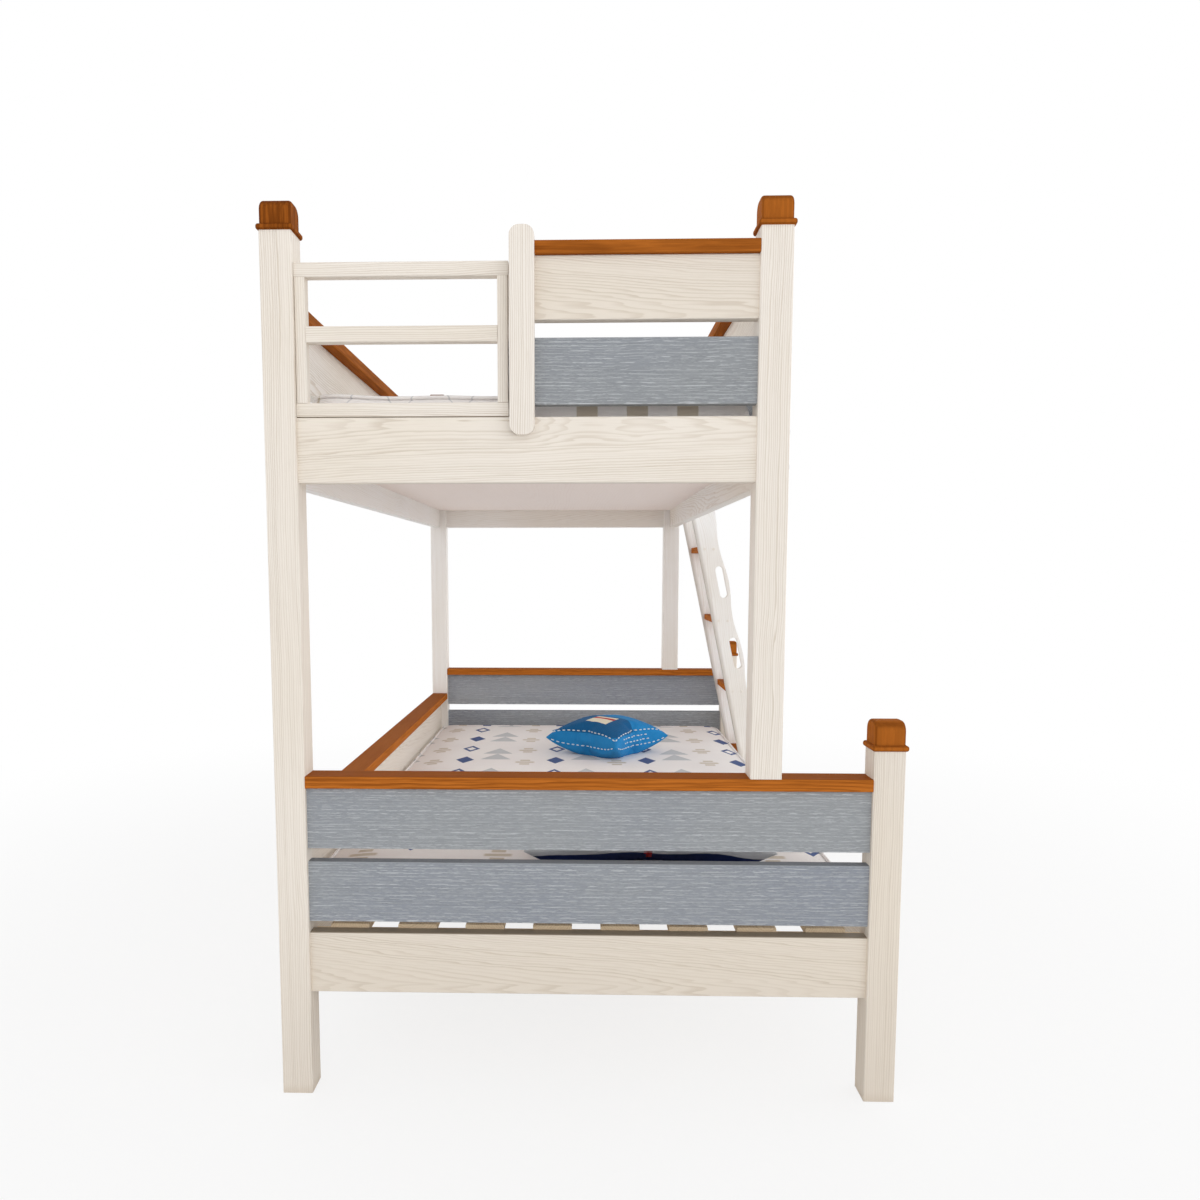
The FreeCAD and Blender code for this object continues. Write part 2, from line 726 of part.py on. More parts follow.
timber("foot_guard_stile", "y", ("foot_stile_place", "foot_stile_place + stile_width"),
       ("rail_inset - stile_thick", "rail_inset"), stile_levels,
       [holes("foot_guard_stile_holes", foot_stile_screws)], ease="stile_corner")
timber("foot_guard_panel", "x", foot_boards, at_foot("rail_inset", "board_inner"), panel_levels,
       [holes("foot_guard_panel_holes", foot_stile_screws[1:2])])
timber("foot_guard_board", "x", foot_boards, at_foot("rail_inset", "board_inner"), board_levels,
       [holes("foot_guard_board_holes", foot_stile_screws[2:])])
timber("foot_guard_cap", "x", ("foot_stile_place + stile_width", "upper_post"), at_foot("0", "post_side"),
       cap_levels)

timber("head_guard_panel", "x", upper_across, at_head("rail_inset", "board_inner"), panel_levels)
timber("head_guard_board", "x", upper_across, at_head("rail_inset", "board_inner"), board_levels)
timber("head_guard_cap", "x", upper_across, at_head("0", "post_side"), cap_levels)

wall_board_top = "wall_guard_top - cap_thick"
timber("wall_guard_board", "y", ("rail_inset", "board_inner"), between_posts,
       (wall_board_top + " - wall_guard_board_height", wall_board_top))
timber("wall_guard_cap", "y", ("0", "post_side"), between_posts, (wall_board_top, "wall_guard_top"))

timber("open_guard_stile", "x", ("upper_width - rail_inset", "upper_width - rail_inset + stile_thick"),
       ("open_stile_place", "open_stile_place + stile_width"), stile_levels,
       [holes("open_guard_stile_holes", open_stile_screws)], ease="stile_corner")
timber("open_guard_panel", "y", open_depth, open_boards, panel_levels,
       [holes("open_guard_panel_holes", open_stile_screws[1:2])])
timber("open_guard_board", "y", open_depth, open_boards, board_levels,
       [holes("open_guard_board_holes", open_stile_screws[2:])])
timber("open_guard_cap", "y", ("upper_post", "upper_width"), ("post_side", "open_stile_place"), cap_levels)


# Lift-out frame that closes the rest of the foot end, standing on two pins

access_across = ("access_left", "access_right")
access_depth = at_foot("rail_inset", "rail_inset + access_thick")
access_sill = ("access_bottom", "access_bottom + access_rail_height")
access_head = ("access_top - access_rail_height", "access_top")
access_between = ("access_left + access_stile_width", "access_right - access_stile_width")
access_bar = ("access_bottom + access_mid_rise", "access_bottom + access_mid_rise + access_mid_height")
pin_high = deck_rail_top + number("pin_depth")
sill_sockets = pin_sockets("sill_sockets", deck_rail_top, pin_high, number("fit_clear"))
timber("access_bottom_rail", "x", access_across, access_depth, access_sill, [sill_sockets])
timber("access_top_rail", "x", access_across, access_depth, access_head)
timber("access_middle_rail", "x", access_between, access_depth, access_bar)
access_stiles = [
    timber_blank(name, "z", span, access_depth, (access_sill[1], access_head[0]), "edge_round")
    for name, span in (("access_stile_left", ("access_left", access_between[0])),
                       ("access_stile_right", (access_between[1], "access_right")))]
node(group("access_stiles", access_stiles), "access_stiles")
access_pins = doc.addObject("Part::Feature", "access_pins")
access_pins.Shape = Part.makeCompound([
    Part.makeCylinder(number("pin_radius"), pin_high - pin_low, point(pin.x, pin.y, pin_low))
    for pin in pins])
node(access_pins, "access_pins")


# Ladder: two leaning stringers with scalloped outer edges, housed over the rails

lean = number("ladder_lean")


def ladder_inner(height):
    """The inner edge of the stringers at a height."""
    return number("ladder_foot") - lean * height


def tread_top(index):
    """The height of one tread, counted from the floor."""
    return number("tread_first_top") + index * number("tread_pitch")


tread_numbers = range(int(number("tread_count")))


def stringer_outline():
    """Edges of the stringer's face: up the outer edge, which swells between treads, then down the inner."""
    wide, wave, top = number("stringer_width"), number("wave_depth"), number("ladder_top")
    plumb = number("ladder_plumb")
    heel = number("ladder_heel")
    seat = number("low_rail_top + lift_clear")
    quarter = number("tread_pitch") / 4

    def outer(height, bulge=0):
        return point(ladder_inner(height) + wide + bulge, 0, height)

    bends = [tread_top(index) + side * quarter for index in tread_numbers for side in (-1, 1)] + [top]
    edges = [Part.LineSegment(outer(0), outer(bends[0])).toShape()]
    for place, (low, high) in enumerate(zip(bends, bends[1:])):
        bulge = wave if place % 2 else -wave
        edges.append(Part.Arc(outer(low), outer((low + high) / 2, bulge), outer(high)).toShape())
    inner = [(plumb, top), (plumb, number("ladder_touch")), (ladder_inner(seat), seat), (heel, seat),
             (heel, number("ladder_heel_rise")), (ladder_inner(0), 0)]
    corners = [outer(top)] + [point(x, 0, height) for x, height in inner] + [outer(0)]
    return edges + [Part.LineSegment(start, end).toShape() for start, end in zip(corners, corners[1:])]


def handhold_middles():
    """Centres of the hand-holds, between the upper treads."""
    last = int(number("tread_count")) - 1
    for index in range(int(number("handhold_count"))):
        height = (tread_top(last - index) + tread_top(last - index - 1)) / 2
        yield ladder_inner(height) + number("stringer_width - handhold_edge"), height


def handhold(x, height, y_from, thick):
    """A slot with round ends that follows the stringer's lean."""
    half = number("(handhold_length - handhold_width) / 2")
    radius = number("handhold_width / 2")
    slope = math.atan(lean)
    run = FreeCAD.Vector(-math.sin(slope), 0, math.cos(slope))
    side = FreeCAD.Vector(math.cos(slope), 0, math.sin(slope)) * radius
    middle = point(x, y_from, height)
    high, low = middle + run * half, middle - run * half
    wire = Part.Wire([
        Part.LineSegment(low + side, high + side).toShape(),
        Part.Arc(high + side, high + run * radius, high - side).toShape(),
        Part.LineSegment(high - side, low - side).toShape(),
        Part.Arc(low - side, low - run * radius, low + side).toShape()])
    return Part.Face(wire).extrude(ALONG * thick)


def tread_screws(index, face, way):
    """Two screws through a stringer into one end of a tread."""
    front = ladder_inner(tread_top(index)) + number("tread_inset")
    margin = number("tread_screw_margin")
    height = tread_top(index) - number("tread_thick / 2")
    length = number("stringer_thick + tread_screw_bite")
    return [screw(point(x, face, height), way, length)
            for x in (front + margin, front + number("tread_depth") - margin)]


near_screws = [item for index in tread_numbers for item in tread_screws(index, number("ladder_place"), ALONG)]
far_face = number("ladder_place + ladder_width")
far_screws = [item for index in tread_numbers for item in tread_screws(index, far_face, -ALONG)]


def hook_screws(y):
    """Two screws down through one hook into the top of its stringer."""
    height = number("ladder_top + hook_thick")
    first = number("ladder_plumb + hook_screw_start")
    return [screw(point(x, y, height), -UP, number("hook_screw_length"))
            for x in (first, first + number("hook_screw_spacing"))]


near_hook_screws = hook_screws(number("ladder_place + stringer_thick / 2"))
far_hook_screws = hook_screws(number("ladder_far + stringer_thick / 2"))


def stringer(label, place, items):
    """One stringer whose near face is at place along the bed."""
    thick = number("stringer_thick")
    face = Part.Face(Part.Wire(stringer_outline()))
    board = face.extrude(ALONG * thick)
    board.translate(ALONG * place)
    blank = doc.addObject("Part::Feature", label + "_blank")
    blank.Shape = board
    slots = doc.addObject("Part::Feature", label + "_slots")
    slots.Shape = Part.makeCompound([handhold(x, height, place, thick) for x, height in handhold_middles()])
    cut_from(blank, [slots, holes(label + "_holes", items)], label)


stringer("ladder_stringer_near", number("ladder_place"), near_screws + near_hook_screws)
stringer("ladder_stringer_far", number("ladder_far"), far_screws + far_hook_screws)


def tread(index):
    """One tread between the stringers, drilled for its screws."""
    low = f"tread_first_top + {index} * tread_pitch - tread_thick"
    front = f"ladder_foot - ladder_lean * (tread_first_top + {index} * tread_pitch) + tread_inset"
    blank = timber_blank(f"tread_{index}_blank", "y", (front, front + " + tread_depth"),
                         ("ladder_place + stringer_thick", "ladder_far"), (low, low + " + tread_thick"),
                         "edge_round")
    cut = doc.addObject("Part::Cut", f"tread_{index}")
    cut.Base = blank
    cut.Tool = holes(f"tread_{index}_holes", near_screws[2 * index:2 * index + 2]
                     + far_screws[2 * index:2 * index + 2])
    return cut


node(group("ladder_treads", [tread(index) for index in tread_numbers]), "ladder_treads")


def hook(name, y, items):
    """A flat strap over the top of the side rail, bent down on its inner face."""
    inner = "upper_width - rail_inner - lift_clear"
    span = (f"{y} - hook_width / 2", f"{y} + hook_width / 2")
    strap = box(name + "_strap", (inner + " - hook_thick", "ladder_plumb + hook_reach"), span,
                ("ladder_top", "ladder_top + hook_thick"))
    bend = box(name + "_bend", (inner + " - hook_thick", inner), span,
               ("ladder_top - hook_drop", "ladder_top"))
    joined = doc.addObject("Part::Fuse", name + "_joined")
    joined.Base = strap
    joined.Tool = bend
    cut = doc.addObject("Part::Cut", name)
    cut.Base = joined
    cut.Tool = holes(name + "_holes", items)
    return cut


hooks = [hook("hook_near", "(ladder_place + stringer_thick / 2)", near_hook_screws),
         hook("hook_far", "(ladder_far + stringer_thick / 2)", far_hook_screws)]
node(group("ladder_hooks", hooks), "ladder_hooks")


# Fasteners as groups

every_end_bolt = [item for pair in (low_foot_bolts, low_head_bolts, deck_foot_bolts, deck_head_bolts)
                  for side in pair for item in side]
fastener_group("end_bolts", every_end_bolt)
fastener_group("bracket_screws", bracket_screws)
fastener_group("stile_screws", foot_stile_screws + open_stile_screws)
fastener_group("ladder_screws", near_screws + far_screws + near_hook_screws + far_hook_screws)


# Bedding

ROLL_BEND = 0.3  # share of the rolled edge where the side turns over


def rounded_outline(length_x, length_y, corner, height):
    """A rectangle with round corners, centred on the origin."""
    half_x, half_y = length_x / 2 - corner, length_y / 2 - corner
    centres = ((half_x, half_y), (-half_x, half_y), (-half_x, -half_y), (half_x, -half_y))

    def on_corner(centre, degrees):
        angle = math.radians(degrees)
        middle = FreeCAD.Vector(*centre, height)
        return middle + FreeCAD.Vector(math.cos(angle), math.sin(angle), 0) * corner

    arcs = [Part.Arc(*[on_corner(centre, 90 * quarter + step) for step in (0, 45, 90)])
            for quarter, centre in enumerate(centres)]
    outline = []
    for arc, following in zip(arcs, arcs[1:] + arcs[:1]):
        outline.append(arc.toShape())
        outline.append(Part.LineSegment(arc.EndPoint, following.StartPoint).toShape())
    return Part.Wire(outline)


def mattress(label, width, centre_x, bottom):
    """A mattress with rolled edges, full sides and a low crown."""
    length, thick = number("mattress_length"), number("mattress_thick")
    roll, crown, corner = number("mattress_roll"), number("mattress_crown"), number("mattress_corner")
    shoulder = thick - crown
    bend = roll * ROLL_BEND
    sections = [(0, roll), (bend, bend), (shoulder / 2, 0), (shoulder - bend, bend), (shoulder, roll),
                (thick, roll + number("crown_border"))]
    wires = [rounded_outline(width - 2 * inset, length - 2 * inset, corner, height)
             for height, inset in sections]
    feature = doc.addObject("Part::Feature", label)
    feature.Shape = Part.makeLoft(wires, True, True)
    middle = point(centre_x, number("bed_length / 2"), bottom)
    feature.Placement = FreeCAD.Placement(middle, FreeCAD.Rotation())
    return node(feature, label)


mattress("lower_mattress", number("lower_mattress_width"),
         number("rail_inner + mattress_wall_gap + lower_mattress_width / 2"), number("lower_mattress_bottom"))
mattress("upper_mattress", number("upper_mattress_width"), number("upper_width / 2"),
         number("upper_mattress_bottom"))


def drawn_outline(length_x, length_y, draw, height):
    """A rectangle whose four sides are drawn in between its corners."""
    half_x, half_y = length_x / 2, length_y / 2
    corners = [FreeCAD.Vector(x, y, height) for x, y in
               ((half_x, half_y), (-half_x, half_y), (-half_x, -half_y), (half_x, -half_y))]
    middles = [FreeCAD.Vector(x, y, height) for x, y in
               ((0, half_y - draw), (draw - half_x, 0), (0, draw - half_y), (half_x - draw, 0))]
    arcs = [Part.Arc(start, middle, end).toShape()
            for start, middle, end in zip(corners, middles, corners[1:] + corners[:1])]
    return Part.Wire(arcs)


# A cushion's outline at each level, as shares of its plan and of its height
CROWN = ((0.46, -0.5), (0.74, -0.4), (0.92, -0.22), (1, 0), (0.92, 0.22), (0.74, 0.4), (0.46, 0.5))


def cushion(label, length_x, length_y, thick, draw, x, y, turn=0):
    """A stuffed cushion: full in the middle, thin at its seam, lying on the lower mattress."""
    wires = [drawn_outline(length_x * share, length_y * share, draw * share, thick * rise)
             for share, rise in CROWN]
    feature = doc.addObject("Part::Feature", label)
    feature.Shape = Part.makeLoft(wires, True, True)
    middle = number("lower_mattress_top + lift_clear") + thick / 2
    feature.Placement = FreeCAD.Placement(point(x, y, middle), FreeCAD.Rotation(UP, turn))
    return node(feature, label)


cushion("throw_cushion", number("cushion_side"), number("cushion_side"), number("cushion_height"),
        number("cushion_draw"), number("cushion_x"), number("cushion_y"), number("cushion_turn"))
cushion("pillow", number("pillow_length"), number("pillow_width"), number("pillow_height"),
        number("pillow_draw"), number("pillow_x"), number("pillow_y"))


# Check every object, then write one file for each sub-part

doc.recompute()
failed = [thing.Name for thing in doc.Objects if "Invalid" in thing.State or "Error" in thing.State]
failed += [piece.Label for piece in nodes if piece.Shape.isNull() or not piece.Shape.isValid()]
if failed:
    raise RuntimeError("failed objects: " + ", ".join(failed))
os.makedirs("parts", exist_ok=True)
for piece in nodes:
    piece.Shape.exportStep(f"parts/{piece.Label}.step")
print(len(nodes), "nodes written")
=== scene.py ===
"""Bunk bed: timber finishes, bedding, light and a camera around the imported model."""
import math
import random
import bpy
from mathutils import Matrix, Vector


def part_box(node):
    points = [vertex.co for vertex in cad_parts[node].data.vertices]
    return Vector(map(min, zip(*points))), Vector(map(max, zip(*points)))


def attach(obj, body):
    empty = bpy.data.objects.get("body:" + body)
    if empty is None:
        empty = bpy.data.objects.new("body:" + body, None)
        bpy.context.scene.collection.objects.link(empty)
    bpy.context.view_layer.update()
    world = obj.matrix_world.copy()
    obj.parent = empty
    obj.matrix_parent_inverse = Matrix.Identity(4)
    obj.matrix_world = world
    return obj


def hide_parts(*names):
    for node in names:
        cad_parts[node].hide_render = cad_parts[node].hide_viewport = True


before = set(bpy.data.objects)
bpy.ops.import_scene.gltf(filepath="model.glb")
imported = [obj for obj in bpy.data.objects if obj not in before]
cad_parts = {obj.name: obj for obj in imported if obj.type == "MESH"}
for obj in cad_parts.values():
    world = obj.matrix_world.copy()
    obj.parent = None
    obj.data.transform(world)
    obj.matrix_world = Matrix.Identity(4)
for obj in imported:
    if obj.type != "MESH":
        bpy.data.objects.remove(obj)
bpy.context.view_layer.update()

from types import SimpleNamespace

import bmesh
import bpy
from bpy.props import FloatProperty, FloatVectorProperty, PointerProperty
from mathutils import Matrix, Vector, noise
from mathutils.bvhtree import BVHTree

bl_info = {
    "name": "Bunk bed",
    "version": (1, 0, 0),
    "blender": (4, 5, 0),
    "location": "3D View > Sidebar > Bunk bed",
    "description": "Finishes, bedding and a stage for a bunk bed with a hook-on ladder",
    "category": "Object",
}


def tone(red, green, blue):
    """A colour given in screen values of 0 to 255, as the linear values that Blender keeps."""
    shares = [level / 255 for level in (red, green, blue)]
    return tuple(s / 12.92 if s <= 0.04045 else ((s + 0.055) / 1.055) ** 2.4 for s in shares)


def colour(label, says, red, green, blue):
    """A colour that a user may change."""
    return FloatVectorProperty(name=label, description=says, subtype="COLOR", size=3, min=0, max=1,
                               default=tone(red, green, blue))


def length(label, says, metres):
    """A length that a user may change."""
    return FloatProperty(name=label, description=says, default=metres, unit="LENGTH", min=0, precision=4)


class TimberFinish(bpy.types.PropertyGroup):
    """Colours and grain of the timber and the steel."""
    white: colour("White wash", "Ground colour of the white-washed pine", 241, 234, 225)
    white_line: colour("White wash line", "Growth lines of the white-washed pine", 210, 197, 181)
    white_warm: colour("White wash warm", "Warmer patches of the white-washed pine", 233, 222, 205)
    # Painted shade, not a colour of the wood: it darkens listed faces in joints, under parts and on rail
    # tops, and a band along the ladder's inner edges
    white_shade: colour("White wash raw", "Faces in the joints and worn edges, with no wash", 150, 136, 118)
    honey: colour("Honey stain", "Ground colour of the brown stained pine", 193, 112, 42)
    honey_line: colour("Honey line", "Growth lines of the brown stained pine", 116, 57, 13)
    honey_dark: colour("Honey dark", "Darkest streaks of the brown stained pine", 92, 44, 10)
    honey_worn: colour("Honey worn", "Worn edges of the brown stained pine", 192, 116, 48)
    grey: colour("Grey stain", "Ground colour of the brushed grey pine", 149, 152, 155)
    grey_dark: colour("Grey pores", "Dark pores of the brushed grey pine", 118, 121, 126)
    grey_streak: colour("Grey streaks", "Pale streaks in the brushed grey pine", 208, 212, 215)
    grey_blue: colour("Grey blue", "Blue patches of the brushed grey pine", 145, 150, 160)
    plywood: colour("Plywood", "Ground colour of the deck's veneer", 254, 243, 236)
    plywood_line: colour("Plywood line", "Grain of the deck's veneer", 243, 228, 219)
    bare: colour("Bare pine", "Ground colour of slats, bearers and pins", 236, 214, 182)
    bare_line: colour("Bare pine line", "Growth lines of slats, bearers and pins", 205, 176, 138)
    steel: colour("Zinc", "Zinc plated steel of hooks, brackets, bolts and screws", 176, 178, 181)
    ring: length("Growth ring", "Distance between two growth lines", 0.0045)


class BeddingFinish(bpy.types.PropertyGroup):
    """Colours and sizes of the mattresses, the cushion and the pillow."""
    cloth: colour("Cover", "Ground colour of both mattress covers", 250, 246, 244)
    blue: colour("Blue figure", "Dark diamonds on the lower cover", 78, 96, 142)
    pale: colour("Pale figure", "Grey triangles on the lower cover", 194, 197, 200)
    sand: colour("Sand figure", "Sand coloured bars on both covers", 203, 190, 171)
    cushion: colour("Cushion", "Light blue cloth of the cushion", 38, 130, 192)
    # Painted shade: the darker blue laid over the upper part of the cushion's front-left half
    cushion_shade: colour("Cushion panel", "Dark blue panel on the cushion", 26, 86, 134)
    thread: colour("Thread", "White sewing thread on the cushion", 232, 238, 240)
    patch: colour("Patch", "Cream patch on the cushion", 232, 222, 200)
    red: colour("Red", "Red band on the patch and red loop of the pillow", 186, 44, 44)
    pillow: colour("Pillow", "Pale cloth of the pillow", 214, 214, 216)
    navy: colour("Navy", "Navy cloth under the pillow", 26, 40, 86)
    pitch: length("Figure pitch", "Distance between two columns of figures", 0.106)
    piping: length("Piping", "Thickness of the piped mattress edges", 0.008)


class StageSetting(bpy.types.PropertyGroup):
    """Floor, light and camera."""
    floor: colour("Floor", "Colour of the floor", 244, 244, 244)
    sky: FloatProperty(name="Sky", description="Strength of the even light near the horizon", default=1.6,
                       min=0)
    lamps: FloatProperty(name="Lamps", description="Share of the lamps' full power", default=1, min=0)
    camera: FloatVectorProperty(name="Camera", description="Place of the camera", subtype="XYZ",
                                unit="LENGTH", size=3, default=(-0.0720, -2.9921, 1.1373))
    pitch: FloatProperty(name="Pitch", description="How far the camera looks down", subtype="ANGLE",
                         default=math.radians(5.477))
    turn: FloatProperty(name="Turn", description="How far the camera turns to the wall side", subtype="ANGLE",
                        default=math.radians(1.570))
    lens: FloatProperty(name="Lens", description="Focal length in millimetres", default=27.967, min=1)


# Shader sheets


class Value:
    """A socket whose arithmetic adds Math nodes to its sheet."""

    def __init__(self, sheet, socket):
        self.sheet = sheet
        self.socket = socket

    def math(self, operation, *terms):
        return self.sheet.node("ShaderNodeMath", {"operation": operation}, dict(enumerate(terms)))

    def __add__(self, other):
        return self.math("ADD", self, other)

    __radd__ = __add__

    def __sub__(self, other):
        return self.math("SUBTRACT", self, other)

    def __rsub__(self, other):
        return self.math("SUBTRACT", other, self)

    def __mul__(self, other):
        return self.math("MULTIPLY", self, other)

    __rmul__ = __mul__

    def __truediv__(self, other):
        return self.math("DIVIDE", self, other)

    def __mod__(self, other):
        return self.math("FLOORED_MODULO", self, other)

    def __abs__(self):
        return self.math("ABSOLUTE", self)

    def root(self):
        return self.math("SQRT", self)

    def sine(self):
        return self.math("SINE", self)

    def fold(self, width):
        """Run back and forth between nothing and a width."""
        return self.math("PINGPONG", self, width)

    def larger(self, other):
        return self.math("MAXIMUM", self, other)

    def step(self, start, end):
        """Go smoothly from 0 at the start to 1 at the end, which may lie below it."""
        return self.sheet.node("ShaderNodeMapRange", {"interpolation_type": "SMOOTHSTEP"},
                               {0: self, "From Min": start, "From Max": end})


class Sheet:
    """The nodes of one material, or of the world."""

    def __init__(self, owner):
        self.owner = owner
        owner.use_nodes = True
        self.tree = owner.node_tree
        self.tree.nodes.clear()

    def node(self, kind, settings, sockets, output=0):
        """Add a node, set it up, fill its sockets and give back one of its outputs."""
        made = self.tree.nodes.new(kind)
        for name, setting in settings.items():
            setattr(made, name, setting)
        for key, content in sockets.items():
            if isinstance(content, Value):
                self.tree.links.new(content.socket, made.inputs[key])
            else:
                made.inputs[key].default_value = content
        return Value(self, made.outputs[output]) if made.outputs else None

    def place(self):
        """Where a point of the surface lies, in metres."""
        return self.node("ShaderNodeTexCoord", {}, {}, "Object")

    def facing(self):
        """Which way the surface faces."""
        return self.node("ShaderNodeTexCoord", {}, {}, "Normal")

    def reach(self, vector, way):
        """How far a vector reaches along a way."""
        return self.node("ShaderNodeVectorMath", {"operation": "DOT_PRODUCT"}, {0: vector, 1: tuple(way)},
                         "Value")

    def shift(self, vector, by):
        """A vector moved by a fixed amount."""
        return self.node("ShaderNodeVectorMath", {"operation": "ADD"}, {0: vector, 1: tuple(by)})

    def join(self, *parts):
        """Three values as one vector."""
        return self.node("ShaderNodeCombineXYZ", {}, dict(enumerate(parts)))

    def cloud(self, vector, detail=2.0, rough=0.5):
        """Soft noise from 0 to 1."""
        return self.node("ShaderNodeTexNoise", {}, {"Vector": vector, "Scale": 1.0, "Detail": detail,
                                                    "Roughness": rough})

    def spots(self, vector):
        """Distance to the nearest of many scattered points."""
        return self.node("ShaderNodeTexVoronoi", {}, {"Vector": vector, "Scale": 1.0}, "Distance")

    def painted_crease_shade(self, span):
        """Ambient occlusion of the piece against itself, used as painted shade: 1 deep in its own inner
        corners, 0 where nothing stands within a span.
        """
        return 1 - self.node("ShaderNodeAmbientOcclusion", {"only_local": True, "samples": 8},
                             {"Distance": span}, "AO")

    def mix(self, share, ground, over):
        """One colour laid over another."""
        pair = [shade if isinstance(shade, Value) else (*shade, 1.0) for shade in (ground, over)]
        return self.node("ShaderNodeMix", {"data_type": "RGBA"}, {0: share, 6: pair[0], 7: pair[1]}, 2)

    def bump(self, height, depth):
        """A relief with a depth in metres."""
        return self.node("ShaderNodeBump", {}, {"Height": height, "Distance": depth})

    def finish(self, shade, rough, relief, gloss, **constants):
        """Close a material with its surface."""
        surface = self.node("ShaderNodeBsdfPrincipled", {},
                            {"Base Color": shade, "Roughness": rough, "Normal": relief,
                             "Specular IOR Level": gloss, **constants})
        self.node("ShaderNodeOutputMaterial", {}, {"Surface": surface})
        return self.owner


def new_sheet(name):
    """A sheet for a new material."""
    return Sheet(bpy.data.materials.new(name))


# Timber

ACROSS_X = Vector((1, 0, 0)).freeze()
ACROSS_Y = Vector((0, 1, 0)).freeze()
UP = Vector((0, 0, 1)).freeze()
LADDER_SLOPE = 0.2997 / 1.404  # how far the ladder leans in for each metre of its height
LADDER_LEAN = math.atan(LADDER_SLOPE)
LADDER_UP = Vector((-math.sin(LADDER_LEAN), 0, math.cos(LADDER_LEAN))).freeze()
LADDER_OUT = Vector((math.cos(LADDER_LEAN), 0, math.sin(LADDER_LEAN))).freeze()
# Along the grain, across the broad face and through the thickness
END_BOARD = (ACROSS_X, UP, ACROSS_Y)
SIDE_BOARD = (ACROSS_Y, UP, ACROSS_X)
END_CAP = (ACROSS_X, ACROSS_Y, UP)
SIDE_CAP = (ACROSS_Y, ACROSS_X, UP)
UPRIGHT = (UP, ACROSS_X, ACROSS_Y)
SIDE_UPRIGHT = (UP, ACROSS_Y, ACROSS_X)
LEANING = (LADDER_UP, LADDER_OUT, ACROSS_Y)

WHITE_PIECES = {
    END_BOARD: ("foot_rail", "head_rail", "deck_rail_foot", "deck_rail_head", "foot_guard_board",
                "head_guard_board", "access_bottom_rail", "access_top_rail", "access_middle_rail"),
    SIDE_BOARD: ("wall_rail", "open_rail", "wall_board", "deck_rail_wall", "deck_rail_open",
                 "wall_guard_board", "open_guard_board"),
    UPRIGHT: ("post_front_wall", "post_back_wall", "post_front_open", "post_back_open", "post_upper_front",
              "post_upper_back", "foot_guard_stile", "access_stiles"),
    SIDE_UPRIGHT: ("open_guard_stile",),
    LEANING: ("ladder_stringer_near", "ladder_stringer_far"),
}
HONEY_PIECES = {
    END_CAP: ("foot_cap", "head_cap", "foot_guard_cap", "head_guard_cap"),
    SIDE_CAP: ("wall_cap", "wall_guard_cap", "open_guard_cap", "ladder_treads"),
    UPRIGHT: ("finials",),
}
GREY_PIECES = {
    END_BOARD: ("foot_board_lower", "foot_board_upper", "head_board_lower", "head_board_upper",
                "foot_guard_panel", "head_guard_panel"),
    SIDE_BOARD: ("open_guard_panel",),
}
BARE_PIECES = {
    SIDE_CAP: ("slats",),
    END_BOARD: ("cross_bearers", "slat_cleats"),
    UPRIGHT: ("access_pins",),
}
STEEL_PIECES = ("corner_brackets", "bracket_screws", "end_bolts", "stile_screws", "ladder_hooks")
MANY_IN_ONE = ("finials", "ladder_treads", "slats", "cross_bearers", "slat_cleats", "access_stiles",
               "access_pins")
BROAD = 0.1  # wider boards are cut near the heart, and narrower pieces far from it
FOLD = 0.13  # pieces that share a mesh take their grain from logs this far apart


